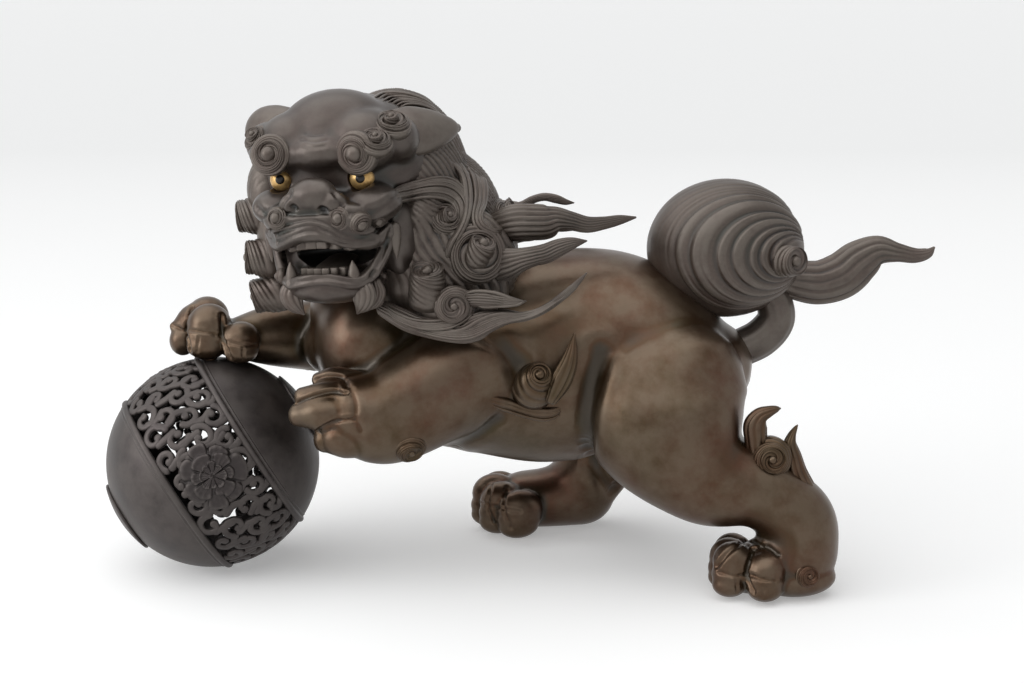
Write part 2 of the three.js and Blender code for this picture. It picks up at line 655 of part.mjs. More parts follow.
function maneMeshes() {
  const ears = both((s) => placeHead(earMass(s, CLEARANCE)));
  const beards = both((s) => placeHead(beardMass(s, CLEARANCE)));
  const face = [headFrontSpace, placeHead(mouth()), jawSpace, spigot(CLEARANCE)];
  const headSpaces = [...face, ...ears, ...beards];
  const throatFoot = neckFoot.clone().addScaledVector(neckWay, NECK_LENGTH / 2);
  const throat = rod(throatFoot, wayOf([-1, 0, 0.2]), THROAT_RADIUS, 2.5 * NECK_RADIUS, 12);
  const hood = largest(cut(hoodMass(0), [...headSpaces, ...lionSpaces, throat, ...combGrooves()]));
  const meshes = [mesh("mane_hood", hood, HEAD_BRONZE)];
  const hoodSpace = hoodMass(CLEARANCE);
  const lock = (stations) =>
    largest(cut(limb(stations.map(onNeck), { sides: 8, steps: 7 }), [hoodSpace, ...lionSpaces]));
  for (const [name, stations] of Object.entries(lockStations)) {
    meshes.push(mesh(`mane_lock_${name}_left`, lock(stations), HEAD_BRONZE));
    meshes.push(mesh(`mane_lock_${name}_right`, lock(mirrorY(stations)), HEAD_BRONZE));
  }
  meshes.push(mesh("mane_lock_crest", lock(crestStations), HEAD_BRONZE));
  return meshes;
}

// Tail

// A thin upright ring through the plume, which would touch the plume's rear end if it were not cut short.
function plumeGroove(reach) {
  const [halfX, halfY, halfZ] = PLUME_HALF;
  const rear = PLUME_CENTRE[0] + halfX;
  const drum = (grow) =>
    rod(at([0, -2 * halfY, 0]), Y, reach / 2 + grow, 4 * halfY, 20)
      .scale([1, 1, halfZ / halfX])
      .translate([rear - reach / 2, 0, PLUME_CENTRE[2]]);
  const ring = drum(GROOVE_WIDTH / 2).subtract(drum(-GROOVE_WIDTH / 2));
  return ring.trimByPlane([-1, 0, 0], GROOVE_START - rear);
}

function tailMeshes() {
  const stem = (grow) =>
    limb(
      [
        [126, 0, 120, STEM_RADIUS],
        [142, 0, 127, STEM_RADIUS],
        [153, 0, 141, STEM_RADIUS],
        [146, 0, 158, STEM_RADIUS - 2],
      ],
      { up: Y, grow },
    );
  const plume = (grow) => ellipsoid(PLUME_CENTRE, PLUME_HALF, { grow });
  const kept = [plume(-GROOVE_DEPTH), stem(CLEARANCE + GROOVE_WIDTH)];
  const grooves = GROOVE_REACHES.map((reach) => cut(plumeGroove(reach), kept));
  const tip = limb(
    [
      [150, 0, 160, 9],
      [172, 0, 161, 12, 8],
      [192, 0, 174, 11, 7],
      [206, 0, 182, 8, 5],
      [231, 0, 178, 1.4, 1],
    ],
    { up: Y, sides: 8, steps: 8 },
  );
  const tenon = rod(tenonFoot, tailWay, TENON_RADIUS, TENON_LENGTH);
  const torso = torsoSpace(CLEARANCE);
  const lion = [torso, hindLegLeft(CLEARANCE), hindLegRight(CLEARANCE)];
  const button = (s) =>
    ellipsoid([144, s * 24, 177], [BUTTON_RADIUS, BUTTON_RADIUS, BUTTON_RADIUS], { sides: 12, rows: 8 });
  return [
    mesh("tail_stem", largest(stem(0).subtract(torso)).add(tenon), HEAD_BRONZE),
    mesh("tail_plume", cut(plume(0), [stem(CLEARANCE), ...lion, ...grooves]), HEAD_BRONZE),
    mesh("tail_tip", largest(cut(tip, [plume(CLEARANCE), stem(CLEARANCE)])), HEAD_BRONZE),
    mesh("tail_button_left", button(-1).subtract(plume(CLEARANCE)), HEAD_BRONZE),
    mesh("tail_button_right", button(1).subtract(plume(CLEARANCE)), HEAD_BRONZE),
  ];
}

const lion = new THREE.Group();
lion.add(
  ...capMeshes("right", ballAxis),
  ...capMeshes("left", ballAxis.clone().negate()),
  ...bandMeshes(),
  ...lionMeshes(),
  ...headMeshes(),
  ...maneMeshes(),
  ...tailMeshes(),
);

// The frame's origin is the middle of the whole piece's underside.
const box = new THREE.Box3().setFromObject(lion);
const middle = box.getCenter(new THREE.Vector3());
lion.position.set(-middle.x, -middle.y, -box.min.z);

export default lion;
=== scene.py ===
# A cast bronze guardian lion with one forepaw on an openwork ball, dressed over its CAD frame.
# Shapes are drawn in millimetres. The lion faces -X, its left side is towards -Y, and it stands on Z = 0.
import math

import bpy
import numpy as np
from mathutils import Matrix, Vector
from mathutils.bvhtree import BVHTree


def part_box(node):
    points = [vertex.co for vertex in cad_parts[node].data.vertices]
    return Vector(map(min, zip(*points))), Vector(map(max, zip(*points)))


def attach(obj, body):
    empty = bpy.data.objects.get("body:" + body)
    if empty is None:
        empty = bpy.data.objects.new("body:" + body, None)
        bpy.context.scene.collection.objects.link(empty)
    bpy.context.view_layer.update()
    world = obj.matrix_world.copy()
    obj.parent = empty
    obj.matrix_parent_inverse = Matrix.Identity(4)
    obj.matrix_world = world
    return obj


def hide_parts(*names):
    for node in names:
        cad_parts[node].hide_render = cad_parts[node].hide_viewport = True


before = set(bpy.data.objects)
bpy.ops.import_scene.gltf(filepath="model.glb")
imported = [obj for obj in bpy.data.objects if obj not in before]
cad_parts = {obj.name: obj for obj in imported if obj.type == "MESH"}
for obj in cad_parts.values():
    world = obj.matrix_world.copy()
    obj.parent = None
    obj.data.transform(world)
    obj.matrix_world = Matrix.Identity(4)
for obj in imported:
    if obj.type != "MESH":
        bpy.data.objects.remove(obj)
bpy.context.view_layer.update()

# Driving dimensions

MM = 0.001
BALL_CENTRE = (-166.6, -9.0, 59.49)
BALL_RADIUS = 58.5
BALL_WALL = 3.2
BALL_AXIS_RISE = 30.0  # degrees that the axis through the two caps rises towards +X
BALL_AXIS_TURN = 15.0  # degrees that its upper end turns away from the camera
PEONY_PHASE = -10.0  # degrees that the first peony is turned from the front
BAND_HALF_WIDTH = 23.4
FILLET_RADIUS = 1.9
PEONY_RADIUS = 18.5
PEONY_COUNT = 3
PEONY_SINK = 1.2
SCROLL_ROWS = (-16.4, -5.6, 5.6, 16.4)  # where the rows of volutes lie across the band
SCROLL_RADIUS = 6.8
SCROLL_COLUMNS = 24
SCROLL_HALF_THICK = 2.2
SCROLL_SINK = 1.7  # how far the middle of a scroll lies below the ball's surface
BAND_EDGE = math.asin(BAND_HALF_WIDTH / BALL_RADIUS)  # latitude of the band's edge
CAP_GAP = 0.02  # radians between the band's edge and the cap
FILLET_SINK = 0.7
LINE_RADIUS = 0.9  # thin line beside the fillet
LINE_STEP = 0.052  # radians from the fillet to that line
POLE_DISC_RADIUS = 16.0
POLE_DISC_PROUD = 1.6
HEAD_CENTRE = (-85.0, -30.0, 224.0)
HEAD_YAW = 17.0  # degrees that the face turns from -Y towards -X
HEAD_ROLL = 4.0  # degrees that its right side dips
EYES = {"left": (20.4, -33.5, -1.2), "right": (-23.4, -33.5, -0.2)}  # in the head's frame
PLUME_CENTRE = (117.0, 0.0, 178.5)
PLUME_HALF = (43.0, 36.0, 38.0)
PLUME_ROOT_X = 160.0  # where all of the plume's locks run together
BUTTON_CENTRE = (146.0, -26.0, 175.5)

# Camera of the photograph: places on the piece are named by its pixels

PICTURE_WIDTH = 1024
PICTURE_HEIGHT = 683
LENS = 56.92
SENSOR_WIDTH = 36.0
CAMERA_PLACE = Vector((0, -880.3, 313.1))
CAMERA_PITCH = 12.0  # degrees below level
FLOOR_SIZE = 600.0  # metres
ROOM_LIGHT = 0.14
FLOOR_GLOW = 0.31  # light that the floor adds where it is seen or reflected
FAR_GLOW_SHARE = 0.65  # of that light where the floor is far off
FLOOR_FADE = 2.5  # metres behind the figure over which the floor turns greyer, painted shade where the light falls off
ROOM_WHITE = 0.86
SUN_STRENGTH = 2.4
SUN_SPREAD = 95.0  # degrees
SUN_LEAN = (12.0, -18.0)  # degrees about X and Y
SOFTBOX_PLACE = (-1.3, -0.5, 0.5)
SOFTBOX_TARGET = (-0.05, 0, 0.16)
SOFTBOX_SIZE = 0.8
SOFTBOX_POWER = 6.0

BROAD_SHARE = 0.5  # how much wide hollows count beside narrow ones in the recess depth, which drives the painted shade, the green patina and the lightened crests
SKIN_TRIANGLES = 190000  # most triangles in the skin of the body or the face
HOOD_TRIANGLES = 195000
HAIR_STEPS = 30  # points along a combed hair

Y_UP = (0, 1, 0)
Z_UP = (0, 0, 1)

# Frames that take the drawn millimetres to their place

peg_low, peg_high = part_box("paw_peg")
peg_axis = (peg_low + peg_high) / 2
figure_origin = Vector((peg_axis.x - BALL_CENTRE[0] * MM, peg_axis.y - BALL_CENTRE[1] * MM, 0))
FIGURE = Matrix.Translation(figure_origin) @ Matrix.Scale(MM, 4)
head_yaw = Matrix.Rotation(math.radians(-HEAD_YAW), 4, "Z")
head_roll = Matrix.Rotation(math.radians(-HEAD_ROLL), 4, "Y")
HEAD_IN_FIGURE = Matrix.Translation(HEAD_CENTRE) @ (head_yaw @ head_roll)
HEAD = FIGURE @ HEAD_IN_FIGURE
axis_rise = math.radians(BALL_AXIS_RISE)
ball_turn = Matrix(
    (
        (0, math.sin(axis_rise), math.cos(axis_rise)),
        (-1, 0, 0),
        (0, -math.cos(axis_rise), math.sin(axis_rise)),
    )
).to_4x4()
ball_turn = Matrix.Rotation(math.radians(BALL_AXIS_TURN), 4, "Z") @ ball_turn
BALL = FIGURE @ Matrix.Translation(BALL_CENTRE) @ ball_turn
LEFT_TO_RIGHT = Matrix.Scale(-1, 4, (0, 1, 0))
SIDES = (("left", 1), ("right", -1))


# Modelling helpers


def deselect():
    bpy.ops.object.select_all(action="DESELECT")


def activate(obj):
    deselect()
    obj.select_set(True)
    bpy.context.view_layer.objects.active = obj


def lump(centre, half, turn=(0, 0, 0), segments=40, rings=24):
    """A rounded mass with its half sizes, turned by degrees about X, Y and Z."""
    deselect()
    bpy.ops.mesh.primitive_uv_sphere_add(
        segments=segments,
        ring_count=rings,
        radius=1,
        location=centre,
        rotation=[math.radians(a) for a in turn],
        scale=half,
    )
    bpy.ops.object.transform_apply(location=True, rotation=True, scale=True)
    return bpy.context.object


def join(objs):
    """One object out of several."""
    deselect()
    for obj in objs:
        obj.select_set(True)
    bpy.context.view_layer.objects.active = objs[0]
    if len(objs) > 1:
        bpy.ops.object.join()
    return objs[0]


def modify(obj, kind, **settings):
    """Adds a modifier and applies it."""
    activate(obj)
    modifier = obj.modifiers.new(kind.lower(), kind)
    for name, value in settings.items():
        setattr(modifier, name, value)
    bpy.ops.object.modifier_apply(modifier=modifier.name)
    return obj


def fuse(objs, voxel, rounds, factor=0.5):
    """Melts overlapping masses into one skin and softens it."""
    whole = modify(join(objs), "REMESH", mode="VOXEL", voxel_size=voxel)
    return modify(whole, "SMOOTH", factor=factor, iterations=rounds)


def copy_of(obj, matrix=Matrix.Identity(4)):
    """A copy with its own mesh, moved by a matrix, with its faces kept outwards."""
    twin = obj.copy()
    twin.data = obj.data.copy()
    bpy.context.scene.collection.objects.link(twin)
    twin.data.transform(matrix)
    if matrix.determinant() < 0:
        twin.data.flip_normals()
    return twin


def new_object(name, points, faces):
    data = bpy.data.meshes.new(name)
    data.from_pydata([tuple(p) for p in points], [], faces)
    obj = bpy.data.objects.new(name, data)
    bpy.context.scene.collection.objects.link(obj)
    return obj


def points_of(obj, kind="co"):
    flat = np.empty(len(obj.data.vertices) * 3)
    obj.data.vertices.foreach_get(kind, flat)
    return flat.reshape(-1, 3)


def normals_of(obj):
    return points_of(obj, "normal")


def set_points(obj, points):
    obj.data.vertices.foreach_set("co", np.ascontiguousarray(points, dtype=np.float32).ravel())
    obj.data.update()


def in_figure(obj):
    """Takes a piece drawn in the head's frame to the figure's."""
    obj.data.transform(HEAD_IN_FIGURE)
    return obj


def unit(v):
    v = np.asarray(v, float)
    return v / np.maximum(np.linalg.norm(v, axis=-1, keepdims=True), 1e-9)


def spline(stations, count):
    """Points on a smooth curve through the stations, with every column carried along."""
    s = np.asarray(stations, float)
    ends = np.vstack([2 * s[0] - s[1], s, 2 * s[-1] - s[-2]])
    t = np.linspace(0, len(s) - 1 - 1e-6, count)
    i = t.astype(int)
    f = (t - i)[:, None]
    a, b, c, d = ends[i], ends[i + 1], ends[i + 2], ends[i + 3]
    return 0.5 * (2 * b + (c - a) * f + (2 * a - 5 * b + 4 * c - d) * f**2 + (3 * b - a - 3 * c + d) * f**3)


def grid_faces(rows, sides):
    """Quads of a closed tube of rings, with a fan at each end."""
    faces = []
    for r in range(rows - 1):
        for k in range(sides):
            n = (k + 1) % sides
            faces.append((r * sides + k, r * sides + n, (r + 1) * sides + n, (r + 1) * sides + k))
    foot, tip, top = rows * sides, rows * sides + 1, (rows - 1) * sides
    for k in range(sides):
        n = (k + 1) % sides
        faces.append((foot, n, k))
        faces.append((tip, top + k, top + n))
    return faces


def sweep(stations, up=Y_UP, sides=24, steps=30, grooves=0, depth=0.0, seed=1):
    """A tube through stations (x, y, z, half width, half height), with grooves along it.
    The width lies across the path and the up direction. With up left out it is the way from the origin."""
    line = spline(stations, steps)
    path, wide, high = line[:, :3], np.maximum(line[:, 3:4], 0.2), np.maximum(line[:, 4:5], 0.2)
    along = unit(np.gradient(path, axis=0))
    over = unit(path) if up is None else np.tile(unit(up), (steps, 1))
    across = unit(np.cross(along, over))
    over = np.cross(across, along)
    angle = np.linspace(0, 2 * math.pi, sides, endpoint=False)
    relief = np.ones(sides)
    if grooves:
        rng = np.random.default_rng(seed)
        strength = rng.uniform(0.45, 1.0, grooves)
        place = angle / (2 * math.pi) * grooves
        lane = np.floor(place).astype(int) % grooves
        relief -= depth * strength[lane] * np.abs(np.cos(math.pi * place)) ** 5
    lead = np.array([-0.75, -0.4])
    rings = []

    def ring(i, shrink, reach):
        size = min(wide[i, 0], high[i, 0])
        centre = path[i] + along[i] * size * reach
        spoke = across[i] * (wide[i] * np.cos(angle)[:, None]) + over[i] * (high[i] * np.sin(angle)[:, None])
        return centre + spoke * relief[:, None] * shrink

    for reach in lead:
        rings.append(ring(0, math.sqrt(1 - reach * reach), reach))
    rings += [ring(i, 1, 0) for i in range(steps)]
    for reach in -lead[::-1]:
        rings.append(ring(steps - 1, math.sqrt(1 - reach * reach), reach))
    foot = path[0] - along[0] * min(wide[0, 0], high[0, 0])
    tip = path[-1] + along[-1] * min(wide[-1, 0], high[-1, 0])
    points = np.vstack(rings + [foot[None], tip[None]])
    obj = new_object("sweep", points, grid_faces(len(rings), sides))
    return face_out(obj)


def face_out(obj):
    activate(obj)
    bpy.ops.object.mode_set(mode="EDIT")
    bpy.ops.mesh.select_all(action="SELECT")
    bpy.ops.mesh.normals_make_consistent(inside=False)
    bpy.ops.object.mode_set(mode="OBJECT")
    return obj


def side_axes(way):
    way = Vector(way).normalized()
    first = way.orthogonal().normalized()
    return np.array(way), np.array(first), np.array(way.cross(first))


def curl(
    centre, way, radius, height, turns=2.4, hand=1, hairs=4, knob=0.3, crown=0.5, groove=0.2, starts=1
):
    """A snail of hair: combed bands wind up a bell to its rim and down into a moat about a round knob."""
    rows, sides = 72, 84
    rim = 0.6  # share of the way up at which the bell turns in
    centre = np.asarray(centre, float)
    axis, first, second = side_axes(way)
    along = np.linspace(0, 1, rows)[:, None]
    angle = np.linspace(0, 2 * math.pi, sides, endpoint=False)[None]
    flank = np.clip(along / rim, 0, 1)
    roof = np.clip((along - rim) / (1 - rim), 0, 1) * math.pi / 2
    reach = radius * (crown + (1 - crown) * (1 - flank) ** 1.5) * np.cos(roof)
    moat = min(0.3 * height, 0.22 * radius * crown)
    lift = height * np.sin(flank * math.pi / 2) - moat * np.sin(roof) ** 2
    out = np.gradient(lift, axis=0)
    up = -np.gradient(reach, axis=0)
    step = np.hypot(out, up)
    band = np.sum(step) / turns
    place = (turns * along + hand * starts * angle / (2 * math.pi)) % 1.0
    coil = np.sqrt(np.clip(1 - (2 * place - 1) ** 2, 0, 1))
    line = np.abs(np.cos(math.pi * hairs * place)) ** 3 * coil
    bulge = band * (groove * (coil - 0.6) - 0.07 * line) * np.clip(along / 0.06, 0, 1)
    reach = np.maximum(reach + bulge * out / step, 0.02)
    lift = lift + bulge * up / step
    spin = first[None, None] * np.cos(angle)[..., None] + second[None, None] * np.sin(angle)[..., None]
    shell = centre + spin * reach[..., None] + axis * lift[..., None]
    depth = max(2.5, 0.35 * radius)
    skirt = shell[:1] - axis * depth
    ends = np.array([centre - axis * depth, centre + axis * (height - moat)])
    points = np.vstack([skirt.reshape(-1, 3), shell.reshape(-1, 3), ends])
    cone = face_out(new_object("curl", points, grid_faces(rows + 1, sides)))
    bud = radius * crown * knob * 1.4
    return join([cone, lump(centre + axis * (height - moat - 0.1 * bud), [bud] * 3, segments=20, rings=12)])


def strands(guides, count, half, thick, steps=34, sides=10, up=Y_UP, taper=0.35):
    """Combed hair: strands of uneven size laid side by side between the guide lines."""
    lanes = np.stack([spline(g, steps) for g in guides])
    rng = np.random.default_rng(count)
    made = []
    for place in np.linspace(0, len(guides) - 1, count):
        i = min(int(place), len(guides) - 2)
        path = lanes[i] + (lanes[i + 1] - lanes[i]) * (place - i)
        fade = np.interp(np.linspace(0, 1, steps), [0, 0.2, 0.75, 1], [taper, 1, 1, taper])[:, None]
        size = fade * rng.uniform(0.7, 1.25)
        proud = fade * rng.uniform(0.45, 1.5)
        made.append(sweep(np.hstack([path, half * size, thick * proud]), up=up, sides=sides, steps=steps))
    return join(made)


def line_of_sight(px, py):
    """The way from the camera through a place in the photograph."""
    pixel = SENSOR_WIDTH / (LENS * PICTURE_WIDTH)
    way = Vector(((px - PICTURE_WIDTH / 2) * pixel, (PICTURE_HEIGHT / 2 - py) * pixel, -1))
    return (Matrix.Rotation(math.radians(90 - CAMERA_PITCH), 3, "X") @ way).normalized()


def at_depth(px, py, y):
    """The point with a given y that the camera sees at a place in the photograph."""
    way = line_of_sight(px, py)
    return np.array(CAMERA_PLACE + way * ((y - CAMERA_PLACE.y) / way.y))


class Surface:
    """A skin on which places in the photograph can be found."""

    def __init__(self, obj, side=1):
        """With side -1 the photograph is taken in a mirror, from the lion's right."""
        points = [v.co[:] for v in obj.data.vertices]
        self.tree = BVHTree.FromPolygons(points, [p.vertices[:] for p in obj.data.polygons])
        self.mirror = Vector((1, side, 1))

    def seen(self, px, py):
        """The point that the camera sees at a place, and the way the skin faces there."""
        way = line_of_sight(px, py) * self.mirror
        start = CAMERA_PLACE * self.mirror
        point, normal, _, _ = self.tree.ray_cast(start, way)
        if point is None:
            point, normal, _, _ = self.tree.find_nearest(start + way * start.length)
        return np.array(point), np.array(normal)

    def facing(self, px, py, spread=4):
        """The way the skin faces about a place."""
        around = [(0, 0), (spread, 0), (-spread, 0), (0, spread), (0, -spread)]
        return unit(sum(self.seen(px + x, py + y)[1] for x, y in around))

    def line(self, places, count, lift=0.0):
        """A smooth line on the skin through places in the photograph, lifted off it."""
        found = [self.seen(px, py) for px, py in spline(places, count)]
        points, normals = (np.array(part) for part in zip(*found))
        path = points + normals * np.broadcast_to(lift, count)[:, None]
        for _ in range(4):
            path[1:-1] = (path[:-2] + 2 * path[1:-1] + path[2:]) / 4
        return path


def crease(obj, skin, places, width, depth, lip=0.3):
    """Draws a line into a piece along places in the photograph, with a soft lip on each side."""
    line = skin.line(places, 12 * len(places))
    points, normals = points_of(obj), normals_of(obj)
    reach = 4 * width
    close = np.all((points > line.min(0) - reach) & (points < line.max(0) + reach), axis=1)
    spots = points[close]
    gap = np.min(np.linalg.norm(spots[:, None] - line[None], axis=2), axis=1)
    sink = np.exp(-((gap / width) ** 2)) - lip * np.exp(-(((gap - 2 * width) / width) ** 2))
    points[close] = spots - normals[close] * (depth * sink)[:, None]
    set_points(obj, points)


def curl_at(skin, place, radius, height, lean=(0, 0, 0), sink=0.2, **looks):
    """A snail of hair on a skin, at a place in the photograph, with its rim sunk in."""
    way = unit(skin.facing(*place) + np.asarray(lean, float))
    return curl(skin.seen(*place)[0] - way * radius * sink, way, radius, height + radius * sink, **looks)


def snail(skin, place, radius, stalk, height, lean, hand=1):
    """A wide whorl of hair on a skin, with a rolled stalk that leans out of its middle."""
    foot, facing = skin.seen(*place)[0], skin.facing(*place)
    whorl_of_hair = curl_at(skin, place, radius, radius * 0.16, turns=1.6, hand=hand, hairs=4, crown=0.66)
    way = unit(facing + np.asarray(lean, float) * (1, skin.mirror.y, 1))
    roll = curl(foot - way * stalk * 0.4, way, stalk, height + stalk * 0.4, turns=2.6, hand=hand, starts=2,
                hairs=3, knob=0.32, crown=0.88, groove=0.14)
    return join([whorl_of_hair, roll])


def strands_at(skin, guides, count, half, thick, lift=0.6):
    """Combed hair on a skin, laid between guide lines of places in the photograph. Its ends sink in."""
    rise = lift * np.interp(np.linspace(0, 1, HAIR_STEPS), [0, 0.12, 0.88, 1], [-4, 1, 1, -4])
    lanes = [skin.line(places, HAIR_STEPS, rise) for places in guides]
    up = -np.array(line_of_sight(*guides[0][0]) * skin.mirror)
    return strands(lanes, count, half, thick, up=up)


def soften(values, edges, rounds):
    """Averages values over the mesh's edges."""
    count = len(values)
    degree = np.maximum(np.bincount(edges.ravel(), minlength=count), 1)[:, None]
    for _ in range(rounds):
        total = np.zeros_like(values)
        for k in range(values.shape[1]):
            total[:, k] += np.bincount(edges[:, 0], values[edges[:, 1], k], count)
            total[:, k] += np.bincount(edges[:, 1], values[edges[:, 0], k], count)
        values = 0.5 * values + 0.5 * total / degree
    return values


def mark_recesses(obj, rounds=14):
    """Stores how deep each point lies in a recess, in millimetres, and below zero on edges and crests. The
    finishes paint shade into the deep places by it and lighten the crests.
    """
    edges = np.empty(len(obj.data.edges) * 2, dtype=np.int32)
    obj.data.edges.foreach_get("vertices", edges)
    edges = edges.reshape(-1, 2)
    points, normals = points_of(obj), normals_of(obj)
    near = soften(points, edges, rounds)
    wide = soften(near, edges, 5 * rounds)
    depth = np.sum(((near - points) + BROAD_SHARE * (wide - near)) * normals, axis=1, keepdims=True)
    layer = obj.data.attributes.new("recess", "FLOAT", "POINT")
    layer.data.foreach_set("value", soften(depth, edges, 2)[:, 0].astype(np.float32))


def settle(obj, name, body, slot, material, place=FIGURE, nodes=(), smooth=180.0, rounds=14):
    """Puts a finished piece in its place, gives it its finish, ties it to its CAD body and hides the CAD
    nodes that it replaces.
    """
    obj.name = name
    obj.data.name = name
    obj.data.update()
    mark_recesses(obj, rounds)
    obj.data.transform(place)
    obj.matrix_world = Matrix.Identity(4)
    obj.data.materials.clear()
    obj.data.materials.append(material)
    activate(obj)
    bpy.ops.object.shade_smooth_by_angle(angle=math.radians(smooth))
    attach(obj, body)
    if nodes:
        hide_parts(*nodes)


# Finishes


def add_node(tree, kind, **values):
    node = tree.nodes.new(kind)
    for name, value in values.items():
        setattr(node, name, value)
    return node


def noise(tree, coords, scale, detail=4.0, roughness=0.55):
    node = add_node(tree, "ShaderNodeTexNoise")
    node.inputs["Scale"].default_value = scale
    node.inputs["Detail"].default_value = detail
    node.inputs["Roughness"].default_value = roughness
    tree.links.new(coords, node.inputs["Vector"])
    return node.outputs["Fac"]


def ramp(tree, value, stops):
    """A colour ramp with stops (place, colour)."""
    node = add_node(tree, "ShaderNodeValToRGB")
    for place, colour in stops[2:]:
        node.color_ramp.elements.new(place)
    for element, (place, colour) in zip(node.color_ramp.elements, stops):
        element.position = place
        element.color = (*colour, 1)
    tree.links.new(value, node.inputs["Fac"])
    return node.outputs["Color"]


def span(tree, value, low, high, to_low=0.0, to_high=1.0):
    node = add_node(tree, "ShaderNodeMapRange")
    node.inputs["From Min"].default_value = low
    node.inputs["From Max"].default_value = high
    node.inputs["To Min"].default_value = to_low
    node.inputs["To Max"].default_value = to_high
    tree.links.new(value, node.inputs["Value"])
    return node.outputs["Result"]


def times(tree, a, b):
    node = add_node(tree, "ShaderNodeMath", operation="MULTIPLY")
    tree.links.new(a, node.inputs[0])
    tree.links.new(b, node.inputs[1])
    return node.outputs["Value"]


def seen_as_background(tree):
    """1 for the rays that show the background: the camera's, and those that metal and glass send on."""
    rays = add_node(tree, "ShaderNodeLightPath").outputs
    any_of_two = add_node(tree, "ShaderNodeMath", operation="MAXIMUM")
    tree.links.new(rays["Is Camera Ray"], any_of_two.inputs[0])
    tree.links.new(rays["Is Glossy Ray"], any_of_two.inputs[1])
    any_of_three = add_node(tree, "ShaderNodeMath", operation="MAXIMUM")
    tree.links.new(any_of_two.outputs["Value"], any_of_three.inputs[0])
    tree.links.new(rays["Is Transmission Ray"], any_of_three.inputs[1])
    return any_of_three.outputs["Value"]


def blend(tree, share, base, colour):
    """Lays a colour over a base by a share."""
    node = add_node(tree, "ShaderNodeMix", data_type="RGBA")
    tree.links.new(share, node.inputs["Factor"])
    tree.links.new(base, node.inputs["A"])
    node.inputs["B"].default_value = (*colour, 1)
    return node.outputs["Result"]


def patina(name, tones, pits_and_shade, green, wear_and_highlight, green_share, metallic, rough, keen=1.0, coat=0.0):
    """Aged bronze: clouded brown tones, green patina in the hollows, small casting pits, painted shade that
    darkens the hollows by their depth, and crests lightened partly as wear and partly as a painted highlight.
    The keener it is, the shallower the hollows and crests that show this shade and lightening."""
    material = bpy.data.materials.new(name)
    material.use_nodes = True
    tree = material.node_tree
    shader = tree.nodes["Principled BSDF"]
    coords = add_node(tree, "ShaderNodeTexCoord").outputs["Object"]
    recess = add_node(tree, "ShaderNodeAttribute", attribute_name="recess").outputs["Fac"]
    cloud = noise(tree, coords, 16, 5, 0.6)
    mottle = noise(tree, coords, 70, 4, 0.6)
    grain = noise(tree, coords, 600, 3, 0.6)
    colour = ramp(tree, cloud, [(0.28, tones[0]), (0.72, tones[2]), (0.5, tones[1])])
    colour = blend(tree, span(tree, mottle, 0.5, 0.75, 0.0, 0.3), colour, tones[3])
    colour = blend(tree, span(tree, grain, 0.35, 0.75, 0.0, 0.22), colour, pits_and_shade)
    patches = span(tree, noise(tree, coords, 28, 3), 0.42, 0.62)
    low = span(tree, recess, 0.05 / keen, 0.7 / keen)
    verdigris = times(tree, span(tree, recess, 0.0, 0.45 / keen, 0.0, green_share), patches)
    colour = blend(tree, verdigris, colour, green)
    # painted shade: the colour is darkened the deeper a point lies in the hollows, over the green patina
    colour = blend(tree, span(tree, recess, 0.12 / keen, 0.9 / keen, 0.0, 0.9), colour, pits_and_shade)
    # painted highlight, partly real wear: the crests are lightened towards a pale bronze
    crest_wear_and_highlight = span(tree, recess, -0.03 / keen, -0.35 / keen, 0.0, 0.6)
    crest = times(tree, crest_wear_and_highlight, span(tree, mottle, 0.3, 0.6))
    colour = blend(tree, crest, colour, wear_and_highlight)
    tree.links.new(colour, shader.inputs["Base Color"])
    tree.links.new(span(tree, mottle, 0.3, 0.7, *rough), shader.inputs["Roughness"])
    tree.links.new(span(tree, low, 0.0, 1.0, metallic, metallic * 0.55), shader.inputs["Metallic"])
    shader.inputs["Coat Weight"].default_value = coat
    shader.inputs["Coat Roughness"].default_value = 0.32
    bump = add_node(tree, "ShaderNodeBump")
    bump.inputs["Strength"].default_value = 0.16
    bump.inputs["Distance"].default_value = 0.0004
    tree.links.new(noise(tree, coords, 420, 5, 0.65), bump.inputs["Height"])
    tree.links.new(bump.outputs["Normal"], shader.inputs["Normal"])
    return material


BODY_BRONZE = patina(
    "body_bronze",
    tones=[(0.047, 0.035, 0.012), (0.061, 0.034, 0.015), (0.081, 0.03, 0.016), (0.04, 0.035, 0.013)],
    pits_and_shade=(0.027, 0.018, 0.0081),
    green=(0.022, 0.025, 0.01),
    wear_and_highlight=(0.126, 0.092, 0.063),
    green_share=0.4,
    metallic=0.8,
    rough=(0.32, 0.41),
    coat=0.2,
)
HEAD_BRONZE = patina(
    "head_bronze",
    tones=[(0.065, 0.052, 0.041), (0.083, 0.066, 0.054), (0.093, 0.064, 0.052), (0.07, 0.063, 0.048)],
    pits_and_shade=(0.0059, 0.0046, 0.0037),
    green=(0.025, 0.033, 0.021),
    wear_and_highlight=(0.155, 0.132, 0.111),
    green_share=0.5,
    metallic=0.5,
    rough=(0.4, 0.54),
    keen=2.0,
    coat=0.2,
)
